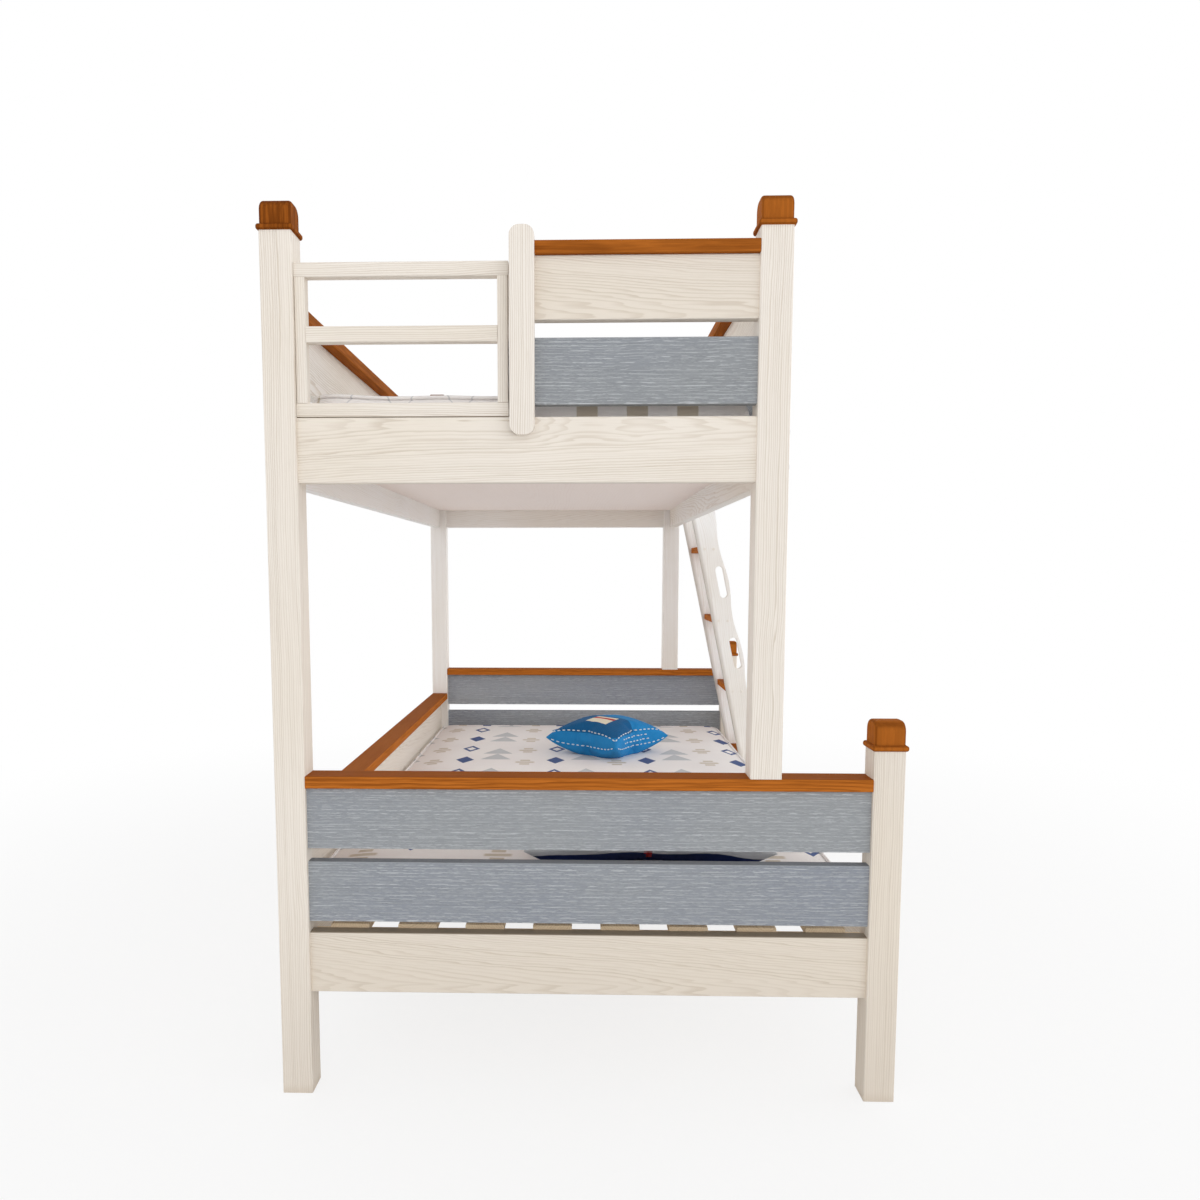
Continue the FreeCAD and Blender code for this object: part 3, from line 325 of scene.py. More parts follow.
def lay_grain(sheet, node, ways, ring):
    """The grain of one piece: growth lines, fibres, slow drift, knots and eased edges, each from 0 to 1, and
    a mask of upward faces for painted shade.
    """
    low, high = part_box(node)
    dice = random.Random(node)
    lie = sheet.shift(sheet.place(), -(low + high) / 2)
    along, across, depth = (sheet.reach(lie, way) for way in ways)
    if node in MANY_IN_ONE:
        across = across.fold(FOLD)
        depth = depth.fold(FOLD)
    seed = [dice.uniform(-40, 40) for _ in range(3)]
    slow = sheet.shift(sheet.join(along * 1.1, across * 1.6, depth * 1.6), seed)
    wander = sheet.cloud(slow, 1.0)
    drift = sheet.cloud(sheet.shift(slow, (9.1, 4.7, 2.3)), 2.0)
    wobble = sheet.cloud(sheet.shift(sheet.join(along * 7, across * 26, depth * 26), seed), 2.0)
    knot = sheet.spots(sheet.shift(sheet.join(along * 1.7, across * 4.2, depth * 2.0), seed))
    swirl = knot.step(0.24, 0.0)
    broad = abs((high - low).dot(ways[1])) > BROAD and node not in MANY_IN_ONE
    heart = dice.uniform(0.03, 0.075) if broad else dice.uniform(0.1, 0.18)
    pith = (dice.choice((-1, 1)) * heart, dice.choice((-1, 1)) * dice.uniform(0.04, 0.08))
    over = across - pith[0] + (wander - 0.5) * (0.05 if broad else 0.03)
    taper = dice.choice((-1, 1)) * (dice.uniform(0.03, 0.06) if broad else 0.006)
    through = depth - pith[1] + (drift - 0.5) * 0.05
    uneven = sheet.cloud(sheet.shift(sheet.join(along * 0.6, across * 95, depth * 95), seed), 1.0)
    radius = (over * over + through * through).root() + (wobble - 0.5) * 0.006
    radius = radius + (uneven - 0.5) * 0.007 + swirl * 0.012
    count = (radius + along * taper) / ring
    saw = count % 1.0
    weight = sheet.cloud(sheet.join(count * 0.41, along * 0.8, seed[0]), 1.0).step(0.25, 0.75)
    lines = saw.step(0.4, 0.86) * saw.step(1.0, 0.9) * (weight * 0.7 + 0.3)
    fibre = sheet.cloud(sheet.shift(sheet.join(along * 11, across * 430, depth * 430), seed), 2.0, 0.6)
    face = sheet.facing()
    square = abs(sheet.reach(face, ways[0])).larger(abs(sheet.reach(face, ways[1])))
    edge = (1 - square.larger(abs(sheet.reach(face, ways[2])))).step(0.01, 0.22)
    # Upward faces, which are given painted shade
    shaded_top = sheet.reach(face, UP).step(0.6, 0.95)
    return SimpleNamespace(along=along, across=across, depth=depth, seed=seed, lines=lines, fibre=fibre,
                           drift=drift, wobble=wobble, heart=knot.step(0.055, 0.02), swirl=swirl,
                           edge=edge, shaded_top=shaded_top)


# Painted light and shade for each piece: a piece in the bed's shade is painted whiter, towards pure white,
# which also hides more of its lines, and a negative value paints a piece darker, towards the line colour
PAINTED_LIGHT_AND_SHADE = {"deck_rail_head": 0.85, "deck_rail_wall": 0.85, "deck_rail_open": 0.6,
              "wall_guard_board": 0.3, "post_back_wall": 0.8, "post_upper_back": 0.7,
              "ladder_stringer_near": 1.0, "ladder_stringer_far": 0.9,
              "foot_guard_board": -0.35, "foot_rail": -0.35, "post_front_open": -0.25}
# Faces given painted shade where shade falls in joints, under parts and on rail tops: which way they face,
# and how strongly they are shaded
PAINTED_SHADE_FACES = {"access_bottom_rail": (-UP, 1.0), "foot_guard_stile": (-ACROSS_X, 1.0),
             "foot_rail": (UP, 1.0), "head_rail": (UP, 0.5)}
LADDER_FOOT = 0.636  # where the inner edge of the ladder's sides meets the floor
SHADED_BAND = 0.018  # SHADED_BAND = 0.018 # how wide a band of painted shade runs along that edge, standing in for the shading of a rounded edge


def white_wash(node, ways, look):
    """White-washed pine: pale lines under a thin coat, warmer in patches, paler on the eased edges, with
    painted light and shade per piece, towards the floor, on listed faces and along the ladder's inner edges.
    """
    sheet = new_sheet("white_wash." + node)
    grain = lay_grain(sheet, node, ways, look.ring)
    # Painted light for positive values, painted shade for negative ones
    depth = PAINTED_LIGHT_AND_SHADE.get(node, 0.0)
    towards = (1, 1, 1) if depth > 0 else look.white_line
    ground = Vector(look.white).lerp(Vector(towards), abs(depth))
    shade = sheet.mix(grain.drift.step(0.35, 0.75) * 0.55, ground, look.white_warm)
    shown = 1 - 0.65 * max(depth, 0.0)
    shade = sheet.mix(grain.lines * 0.85 * shown, shade, look.white_line)
    shade = sheet.mix(grain.fibre.step(0.5, 0.8) * 0.3 * shown, shade, look.white_line)
    shade = sheet.mix(grain.heart * 0.35 + grain.swirl * 0.12, shade, look.white_line)
    shade = sheet.mix(grain.edge * 0.5, shade, look.white)
    # Painted shade: darker towards the floor below 0.5 m, and darker still in the last 25 mm
    height = sheet.reach(sheet.place(), UP)
    shade = sheet.mix(height.step(0.5, 0.0) * 0.35 + height.step(0.025, 0.0) * 0.4, shade, look.white_line)
    # Painted shade on the listed faces
    if node in PAINTED_SHADE_FACES:
        way, shade_share = PAINTED_SHADE_FACES[node]
        shade = sheet.mix(sheet.reach(sheet.facing(), way).step(0.2, 0.8) * shade_share, shade, look.white_shade)
    # Painted shade in a band along the inner edge of the ladder's sides
    if node.startswith("ladder_stringer"):
        inside = sheet.reach(sheet.place(), ACROSS_X) + height * LADDER_SLOPE - LADDER_FOOT
        shade = sheet.mix(inside.step(SHADED_BAND, 0.0) * 0.45, shade, look.white_shade)
    rough = 0.5 + grain.fibre * 0.12 - grain.lines * 0.06
    relief = sheet.bump(grain.lines * -0.6 + grain.fibre * 0.5, 0.0005)
    return sheet.finish(shade, rough, relief, 0.2)


# How far each piece's ground colour goes towards the line colour, which also sets its share of dark streaks
STAIN_DEPTH = {"finials": 0.56, "foot_guard_cap": 0.3, "open_guard_cap": 0.25, "wall_guard_cap": 0.3}


def honey_stain(node, ways, look):
    """Brown stained pine under a satin varnish, worn a little along its edges, with painted shade on its
    upward faces and, on the finials, on rounded edges and in creases.
    """
    sheet = new_sheet("honey_stain." + node)
    grain = lay_grain(sheet, node, ways, look.ring)
    ground = Vector(look.honey).lerp(Vector(look.honey_line), STAIN_DEPTH.get(node, 0.0))
    shade = sheet.mix(grain.lines * 0.5, ground, look.honey_line)
    shade = sheet.mix(grain.fibre.step(0.42, 0.75) * 0.55, shade, look.honey_line)
    streak = sheet.join(grain.along * 9, grain.across * 120, grain.depth * 120)
    flow = sheet.cloud(sheet.shift(streak, grain.seed))
    shade = sheet.mix(flow.step(0.62, 0.4) * STAIN_DEPTH.get(node, 0.1), shade, look.honey_dark)
    # Painted shade on the upward faces
    shade = sheet.mix(grain.shaded_top * 0.55, shade, look.honey_line)
    shade = sheet.mix(grain.drift.step(0.5, 0.85) * 0.35, shade, look.honey_worn)
    shade = sheet.mix(grain.heart * 0.7, shade, look.honey_line)
    if node == "finials":
        open_side = sheet.reach(sheet.place(), ACROSS_X).step(0.0, 0.2)
        shade = sheet.mix(open_side * 0.5, shade, look.honey)
        # Painted shade on the finials' rounded edges and in the creases between block and flange
        shade = sheet.mix(grain.edge * 0.45, shade, look.honey_dark)
        shade = sheet.mix(sheet.painted_crease_shade(0.012).step(0.1, 0.6) * 0.7, shade, look.honey_dark)
    else:
        shade = sheet.mix(grain.edge * grain.fibre.step(0.3, 0.6) * 0.4, shade, look.honey_worn)
    rough = 0.52 + grain.fibre * 0.14
    relief = sheet.bump(grain.lines * -0.5 + grain.fibre * 0.5, 0.0004)
    return sheet.finish(shade, rough, relief, 0.015)


# How far each grey piece's ground colour goes towards the pale streak colour
PALER_GREY = {"head_board_upper": 0.3, "head_board_lower": 0.18,
          "foot_board_upper": 0.1, "foot_board_lower": 0.1}


def grey_stain(node, ways, look):
    """Grey pine brushed along the grain, so that long and short pale streaks stand in dark pores, with
    painted shade on its upward faces.
    """
    sheet = new_sheet("grey_stain." + node)
    grain = lay_grain(sheet, node, ways, look.ring)
    bow = sheet.join(grain.along * 0.8, grain.across * 40, grain.depth * 40)
    bend = sheet.cloud(sheet.shift(bow, grain.seed))
    sway = (grain.wobble - 0.5) * 0.008 + (bend - 0.5) * 0.008

    def brushed(spacing, run):
        """Thin broken lines along the grain."""
        count = (grain.across + grain.depth + sway) / spacing
        saw = count % 1.0
        broken = sheet.cloud(sheet.shift(sheet.join(grain.along * run, count * 0.9, 0.0), grain.seed), 1.0)
        return saw.step(0.3, 0.4) * saw.step(0.58, 0.48) * broken.step(0.42, 0.6)

    brush = (brushed(0.0081, 38) * 0.9).larger(brushed(0.0058, 60)).larger(brushed(0.0041, 130) * 0.7)
    ground = Vector(look.grey).lerp(Vector(look.grey_streak), PALER_GREY.get(node, 0.0))
    shade = sheet.mix(grain.drift.step(0.35, 0.7), ground, look.grey_blue)
    shade = sheet.mix(grain.fibre.step(0.5, 0.7) * 0.25, shade, look.grey_dark)
    shade = sheet.mix(grain.lines * 0.15, shade, look.grey_dark)
    shade = sheet.mix(brush * 0.8, shade, look.grey_streak)
    shade = sheet.mix(grain.edge * 0.35, shade, look.grey_streak)
    # Painted shade on the upward faces
    shade = sheet.mix(grain.shaded_top * 0.85, shade, look.grey_dark)
    rough = 0.62 + brush * 0.16
    relief = sheet.bump(brush + grain.lines * -0.3, 0.0007)
    return sheet.finish(shade, rough, relief, 0.1)


def veneer(node, ways, look):
    """Pale veneer of the deck."""
    sheet = new_sheet("veneer." + node)
    grain = lay_grain(sheet, node, ways, look.ring * 2.5)
    shade = sheet.mix(grain.lines * 0.3 + grain.fibre.step(0.5, 0.8) * 0.3, look.plywood, look.plywood_line)
    relief = sheet.bump(grain.fibre, 0.0003)
    return sheet.finish(shade, 0.55 + grain.fibre * 0.15, relief, 0.2)


def bare_pine(node, ways, look):
    """Planed pine with no finish."""
    sheet = new_sheet("bare_pine." + node)
    grain = lay_grain(sheet, node, ways, look.ring)
    shade = sheet.mix(grain.lines * 0.7, look.bare, look.bare_line)
    shade = sheet.mix(grain.fibre.step(0.45, 0.8) * 0.4, shade, look.bare_line)
    shade = sheet.mix(grain.heart * 0.8, shade, tone(140, 96, 60))
    relief = sheet.bump(grain.lines * -0.5 + grain.fibre * 0.7, 0.0006)
    return sheet.finish(shade, 0.68 + grain.fibre * 0.15, relief, 0.2)


def zinc(name, ground, **surface):
    """Zinc plating, bare or painted: faint flakes and handling marks."""
    sheet = new_sheet(name)
    place = sheet.place()
    across, along, up = (sheet.reach(place, way) for way in (ACROSS_X, ACROSS_Y, UP))
    flakes = sheet.spots(sheet.join(across * 240, along * 240, up * 240))
    marks = sheet.cloud(sheet.join(across * 60, along * 60, up * 60), 4.0, 0.65)
    lighter, darker = (Vector(ground).lerp(Vector(end), 0.3) for end in ((1, 1, 1), (0, 0, 0)))
    shade = sheet.mix(flakes.step(0.2, 0.8) * 0.35, ground, lighter)
    shade = sheet.mix(marks.step(0.55, 0.75) * 0.4, shade, darker)
    surface = {"Metallic": 1.0, **surface}
    return sheet.finish(shade, 0.34 + marks * 0.22, sheet.bump(marks, 0.0002), 0.5, **surface)


def dress(node, material):
    """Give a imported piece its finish."""
    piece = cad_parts[node]
    if not piece.material_slots:
        piece.data.materials.append(material)
    for place in piece.material_slots:
        place.material = material


def dress_all(pieces, finish, look):
    """Give every piece of a table its own cut of one finish."""
    for ways, nodes in pieces.items():
        for node in nodes:
            dress(node, finish(node, ways, look))


# Bedding


def shell(counts, place, sewn=False):
    """A closed skin of quads over a lattice; a sewn one has its upper and lower edge in one seam."""
    across, along, high = counts
    skin = bmesh.new()
    points = {}

    def point(i, j, k):
        if sewn and (i in (0, across) or j in (0, along)):
            k = 0
        if (i, j, k) not in points:
            spot = place(2 * i / across - 1, 2 * j / along - 1, 2 * k / high - 1)
            points[i, j, k] = skin.verts.new(spot)
        return points[i, j, k]

    def quad(*corners):
        skin.faces.new([point(*corner) for corner in corners])

    for i in range(across):
        for j in range(along):
            quad((i, j, high), (i + 1, j, high), (i + 1, j + 1, high), (i, j + 1, high))
            quad((i, j, 0), (i, j + 1, 0), (i + 1, j + 1, 0), (i + 1, j, 0))
    if not sewn:
        for k in range(high):
            for i in range(across):
                quad((i, 0, k), (i + 1, 0, k), (i + 1, 0, k + 1), (i, 0, k + 1))
                quad((i, along, k), (i, along, k + 1), (i + 1, along, k + 1), (i + 1, along, k))
            for j in range(along):
                quad((0, j, k), (0, j, k + 1), (0, j + 1, k + 1), (0, j + 1, k))
                quad((across, j, k), (across, j + 1, k), (across, j + 1, k + 1), (across, j, k + 1))
    return skin


def to_mesh(name, skin):
    """A smooth mesh from a skin."""
    mesh = bpy.data.meshes.new(name)
    skin.to_mesh(mesh)
    skin.free()
    mesh.polygons.foreach_set("use_smooth", [True] * len(mesh.polygons))
    return mesh


def to_piece(mesh, material):
    """An object of a mesh, with its material."""
    piece = bpy.data.objects.new(mesh.name, mesh)
    bpy.context.scene.collection.objects.link(piece)
    mesh.materials.append(material)
    return piece


SWELL_STEPS = 20  # steps of a simulation


def fill_with_air(piece, pressure, cap, pinned=()):
    """Swell a skin by cloth simulation, no point moving further than the cap."""
    start = [vertex.co.copy() for vertex in piece.data.vertices]
    cloth = piece.modifiers.new("fill", "CLOTH")
    cloth.settings.quality = 6
    cloth.settings.use_pressure = True
    cloth.settings.uniform_pressure_force = pressure
    cloth.settings.effector_weights.gravity = 0
    cloth.point_cache.frame_start = 1
    cloth.point_cache.frame_end = SWELL_STEPS
    if pinned:
        group = piece.vertex_groups.new(name="seams")
        group.add(list(pinned), 1.0, "REPLACE")
        cloth.settings.vertex_group_mass = "seams"
    for step in range(1, SWELL_STEPS + 1):
        bpy.context.scene.frame_set(step)
    swollen = piece.evaluated_get(bpy.context.evaluated_depsgraph_get())
    moved = [vertex.co.copy() for vertex in swollen.data.vertices]
    piece.modifiers.remove(cloth)
    bpy.context.scene.frame_set(1)
    for vertex, before, after in zip(piece.data.vertices, start, moved):
        travel = after - before
        if not math.isfinite(travel.length):
            raise RuntimeError(piece.name + ": the simulation broke down")
        vertex.co = before + travel * min(1.0, cap / max(travel.length, 1e-9))
    piece.vertex_groups.clear()


def stretch_to(piece, low, high):
    """Stretch a skin to a box."""
    for axis in range(3):
        places = [vertex.co[axis] for vertex in piece.data.vertices]
        start, end = min(places), max(places)
        for vertex, place in zip(piece.data.vertices, places):
            vertex.co[axis] = low[axis] + (place - start) / (end - start) * (high[axis] - low[axis])


def soften(piece):
    """One level of subdivision."""
    piece.modifiers.new("soft", "SUBSURF").render_levels = 1


CELL = 0.022  # side of a quad of a mattress
BULGE = 0.012  # how far a mattress side stands out between its piped edges
CORNER = 0.06  # round corner of a mattress, seen from above
RIM_STEP = 0.03  # longest straight run of its piping


def plan_corner(x, y, half_x, half_y):
    """A point of a rectangle, moved so that the rectangle's corners become round."""
    inner = Vector((max(CORNER - half_x, min(half_x - CORNER, x)),
                    max(CORNER - half_y, min(half_y - CORNER, y))))
    out = Vector((x, y)) - inner
    if out.length > 0:
        inner += out.normalized() * max(abs(out.x), abs(out.y))
    return inner


def mattress(node, figures, look, drop, crown, ripples, sway):
    """A boxed mattress: piped edges that sway below its solid's top, and a rippled crown above them."""
    low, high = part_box(node)
    centre = (low + high) / 2
    half = (high - low) / 2
    pipe = look.piping / 2
    bottom = low.z
    shoulder = high.z - drop

    def edge_height(spot):
        """Height of the upper edge at a spot seen from above, measured from the middle."""
        return shoulder + sway * noise.noise(Vector((spot.x * 6, spot.y * 6, half.y)))

    def place(s, t, r):
        inset = pipe + BULGE * r * r
        spot = plan_corner(s * (half.x - inset), t * (half.y - inset), half.x - inset, half.y - inset)
        inward = min(half.x - inset - abs(spot.x), half.y - inset - abs(spot.y))
        height = bottom + pipe + (edge_height(spot) - bottom - pipe) * (r + 1) / 2
        if r == 1:
            ripple = noise.noise(Vector((spot.x * 5, spot.y * 5, half.x)))
            height += (crown + ripples * ripple) * (1 - math.exp(-inward / 0.035))
        if r == -1:
            height = bottom + pipe * math.exp(-inward / 0.02)
        return Vector((centre.x + spot.x, centre.y + spot.y, height))

    counts = (round(2 * half.x / CELL), round(2 * half.y / CELL), 6)
    piece = to_piece(to_mesh(node + "_cover", shell(counts, place)), figures)
    seams = []
    for vertex in piece.data.vertices:
        off_edge = abs(vertex.co.z - edge_height(vertex.co - centre))
        if min(off_edge, vertex.co.z - bottom - pipe) < 1e-4:
            seams.append(vertex.index)
    fill_with_air(piece, pressure=1.0, cap=0.004, pinned=seams)
    for vertex in piece.data.vertices:
        vertex.co.z = min(vertex.co.z, shoulder + crown + ripples + sway)
    soften(piece)
    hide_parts(node)
    settle(piece, node)
    rim = rim_points(half.x - pipe - BULGE, half.y - pipe - BULGE)
    for name, heights in (("upper", map(edge_height, rim)), ("lower", [bottom + pipe] * len(rim))):
        loop = [(centre.x + spot.x, centre.y + spot.y, height) for spot, height in zip(rim, heights)]
        edge = to_piece(tube(f"{node}_{name}_piping", loop, pipe), figures)
        settle(edge, node)


def rim_points(half_x, half_y):
    """Points round a rectangle with round corners."""
    points = []
    for quarter, (x, y) in enumerate(((1, 1), (-1, 1), (-1, -1), (1, -1))):
        middle = Vector((x * (half_x - CORNER), y * (half_y - CORNER)))
        for step in range(9):
            angle = math.radians(90 * quarter + 90 * step / 8)
            points.append(middle + Vector((math.cos(angle), math.sin(angle))) * CORNER)
    rim = []
    for start, end in zip(points, points[1:] + points[:1]):
        parts = math.ceil((end - start).length / RIM_STEP)
        rim += [start.lerp(end, part / parts) for part in range(parts)]
    return rim


def tube(name, loop, radius):
    """A closed round cord along a loop."""
    curve = bpy.data.curves.new(name, "CURVE")
    curve.dimensions = "3D"
    curve.bevel_depth = radius
    curve.bevel_resolution = 3
    line = curve.splines.new("POLY")
    line.points.add(len(loop) - 1)
    for knot, spot in zip(line.points, loop):
        knot.co = (*spot, 1.0)
    line.use_cyclic_u = True
    carrier = bpy.data.objects.new(name, curve)
    mesh = bpy.data.meshes.new_from_object(carrier)
    mesh.name = name
    bpy.data.objects.remove(carrier)
    mesh.polygons.foreach_set("use_smooth", [True] * len(mesh.polygons))
    return mesh


def settle(piece, body):
    """Let a piece ride on its body."""
    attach(piece, body)


SINK = 0.014  # how much of a stuffed piece's roundness is pressed flat under it


def stuffed(name, half_x, half_y, half_z, draw, cell, material):
    """Two cloths sewn round their edge and filled, lying at the origin; the edges draw in between corners."""

    def place(s, t, r):
        x = s * (half_x - draw * (1 - t * t))
        y = t * (half_y - draw * (1 - s * s))
        rise = ((1 - s ** 4) * (1 - t ** 4)) ** 0.55
        return Vector((x, y, r * rise * half_z * 0.72))

    counts = (round(2 * half_x / cell), round(2 * half_y / cell), 1)
    piece = to_piece(to_mesh(name, shell(counts, place, sewn=True)), material)
    fill_with_air(piece, pressure=4.0, cap=0.03)
    stretch_to(piece, (-half_x, -half_y, -half_z - SINK), (half_x, half_y, half_z))
    for vertex in piece.data.vertices:
        vertex.co.z = max(vertex.co.z, -half_z)
    soften(piece)
    return piece


def weave(sheet, across, along, thread):
    """Plain weave: threads that pass over and under each other."""
    warp = (across * (2 * math.pi / thread)).sine()
    weft = (along * (2 * math.pi / thread)).sine()
    return warp * weft * 0.5 + 0.5


def cover_ground(sheet, look, grain=0.0016):
    """Place, weave and slow mottling of a mattress cover."""
    place = sheet.place()
    across, along, up = (sheet.reach(place, way) for way in (ACROSS_X, ACROSS_Y, UP))
    cloth = weave(sheet, across, along + up, grain)
    mottle = sheet.cloud(sheet.join(across * 7, along * 7, up * 7), 3.0)
    slub = sheet.cloud(sheet.join(across * 40, along * 700, up * 700), 2.0, 0.6)
    shade = sheet.mix(mottle.step(0.35, 0.75) * 0.25, look.cloth, tone(234, 227, 226))
    shade = sheet.mix(slub.step(0.5, 0.8) * 0.25, shade, tone(226, 219, 217))
    printed = abs(sheet.reach(sheet.facing(), ACROSS_X)).step(0.7, 0.5)
    return SimpleNamespace(across=across, along=along, up=up, cloth=cloth, slub=slub, mottle=mottle,
                           shade=shade, printed=printed)


def cover_close(sheet, ground, shade):
    """Close a cotton cover."""
    creases = sheet.cloud(sheet.join(ground.across * 16, ground.along * 11, ground.up * 16), 3.0, 0.55)
    relief = sheet.bump(ground.cloth * 0.25 + ground.slub * 0.35 + creases * 2.2, 0.0012)
    return sheet.finish(shade, 0.82 + ground.slub * 0.1, relief, 0.06, **{"Sheen Weight": 0.04})


def diamond_cover(look):
    """Cotton with columns of diamonds, triangles and bars."""
    sheet = new_sheet("diamond_cover")
    ground = cover_ground(sheet, look)
    shade = ground.shade
    pitch = look.pitch

    def column(which, rows, lift):
        """Distances from the middle of the nearest figure in every third column."""
        aside = (ground.across - which * pitch) % (3 * pitch) - 1.5 * pitch
        ahead = (ground.along - lift) % rows - rows / 2
        return aside, ahead

    ragged = (ground.slub - 0.5) * 0.16
    aside, ahead = column(0, 0.4, 0.02)
    solid = abs(aside) / 0.032 + abs(ahead) / 0.056 + ragged
    shade = sheet.mix(solid.step(1.04, 0.96), shade, look.blue)
    aside, ahead = column(0, 0.4, 0.22)
    ring = abs(aside) / 0.032 + abs(ahead) / 0.056 + ragged
    shade = sheet.mix(ring.step(1.04, 0.96) * ring.step(0.5, 0.58), shade, look.blue)
    for start in (0.0, 0.1):
        aside, ahead = column(1, 0.34, 0.1 + start)
        tent = (abs(aside) / 0.054 + abs(ahead + 0.04) / 0.1 + ragged).step(1.04, 0.94)
        shade = sheet.mix(tent * ahead.step(-0.041, -0.039) * 0.85, shade, look.pale)
    for start, width in ((0.0, 0.018), (0.03, 0.034), (0.06, 0.018)):
        aside, ahead = column(2, 0.21, 0.05 + start)
        bar = (abs(aside) / width + ragged).step(1.1, 0.8) * (abs(ahead) / 0.01 + ragged).step(1.2, 0.8)
        shade = sheet.mix(bar * 0.85, shade, look.sand)
    return cover_close(sheet, ground, sheet.mix(ground.printed, ground.shade, shade))


def block_cover(look):
    """Cotton with staggered blocks and thin lines."""
    sheet = new_sheet("block_cover")
    ground = cover_ground(sheet, look)
    shade = ground.shade
    ragged = (ground.slub - 0.5) * 0.1
    run = ground.along + ground.up
    ahead = (run - 1.3) % 0.24 - 0.12
    band = (ground.across + 0.11) % 0.8
    aside = band % 0.105 - 0.05
    block = (abs(aside) / 0.022 + ragged).step(1.05, 0.95) * (abs(ahead) / 0.062 + ragged).step(1.05, 0.95)
    shade = sheet.mix(block * band.step(0.321, 0.319) * 0.9, shade, look.sand)
    lozenge = abs(ground.across % 0.13 - 0.065) / 0.06 + abs((run - 1.24) % 0.2 - 0.1) / 0.1
    outline = abs(lozenge + (ground.mottle - 0.5) * 0.3 - 0.8).step(0.045, 0.02)
    shade = sheet.mix(outline * band.step(0.33, 0.34) * 0.5, shade, tone(186, 187, 191))
    return cover_close(sheet, ground, sheet.mix(ground.printed, ground.shade, shade))


CUSHION_TURN = math.radians(51)
CUSHION_SIDE = 0.325
STITCH_LENGTH, STITCH_PITCH = 0.068, 0.118  # as shares of half the cushion's side
STITCH_RADIUS = 0.0022
LOOP_HALF_WIDTH, LOOP_THICKNESS = 0.0095, 0.0012  # the pillow's ribbon loop


def cushion_cloth(look, middle):
    """Blue cotton with a darker blue half on top as painted shade, a plain patch and fine quilting."""
    sheet = new_sheet("cushion_cloth")
    lie = sheet.shift(sheet.place(), -middle)
    first = Vector((math.cos(CUSHION_TURN), math.sin(CUSHION_TURN), 0))
    second = Vector((-math.sin(CUSHION_TURN), math.cos(CUSHION_TURN), 0))
    across, along, up = (sheet.reach(lie, way) for way in (first, second, UP))
    cloth = weave(sheet, across, along, 0.0018)
    mottle = sheet.cloud(sheet.join(across * 14, along * 14, up * 14), 3.0)
    slub = sheet.cloud(sheet.join(across * 60, along * 600, up * 600), 2.0, 0.6)
    quilt = ((along + (mottle - 0.5) * 0.006) * (2 * math.pi / 0.0085)).sine() * 0.5 + 0.5
    shade = sheet.mix(slub.step(0.45, 0.8) * 0.35, look.cushion, tone(70, 150, 204))
    shade = sheet.mix(mottle.step(0.5, 0.8) * 0.35, shade, tone(24, 96, 152))
    # Painted shade: darker blue over the upper part of the half on the local -x side, which faces front-left
    panel = across.step(0.012, 0.008) * up.step(0.018, 0.022)
    shade = sheet.mix(panel * 0.9, shade, look.cushion_shade)
    patch = abs(across + 0.045).step(0.041, 0.0395) * abs(along + 0.012).step(0.046, 0.0445)
    patch = patch * up.step(0.0, 0.01)
    shade = sheet.mix(patch, shade, look.patch)
    band = patch * abs(across + 0.032).step(0.0095, 0.0085)
    shade = sheet.mix(band, shade, look.red)
    creases = sheet.cloud(sheet.join(across * 26, along * 26, up * 40), 3.0, 0.55)
    relief = sheet.bump(cloth * 0.2 + slub * 0.3 + quilt * 0.45 + creases * 2.4, 0.0012)
    return sheet.finish(shade, 0.74 + slub * 0.14, relief, 0.06, **{"Sheen Weight": 0.04})


def thread_cloth(look):
    """Twisted white thread."""
    sheet = new_sheet("thread")
    place = sheet.place()
    across, along, up = (sheet.reach(place, way) for way in (ACROSS_X, ACROSS_Y, UP))
    twist = ((across + along + up) * (2 * math.pi / 0.0011)).sine() * 0.5 + 0.5
    shade = sheet.mix(twist * 0.35, look.thread, tone(190, 204, 214))
    return sheet.finish(shade, 0.7 + twist * 0.1, sheet.bump(twist, 0.0003), 0.15)


def add_stitch(skin, path, radius):
    """A thread along a path with thin ends, six-sided."""
    way = (path[-1] - path[0]).normalized()
    side = way.orthogonal().normalized()
    turns = [Matrix.Rotation(math.radians(60 * step), 3, way) @ side for step in range(6)]
    rings = []
    for spot in path:
        swell = 0.4 if spot in (path[0], path[-1]) else 1.0
        rings.append([skin.verts.new(spot + turn * radius * swell) for turn in turns])
    for near, far in zip(rings, rings[1:]):
        for step in range(6):
            following = (step + 1) % 6
            skin.faces.new([near[step], near[following], far[following], far[step]])
    skin.faces.new(rings[0][::-1])
    skin.faces.new(rings[-1])


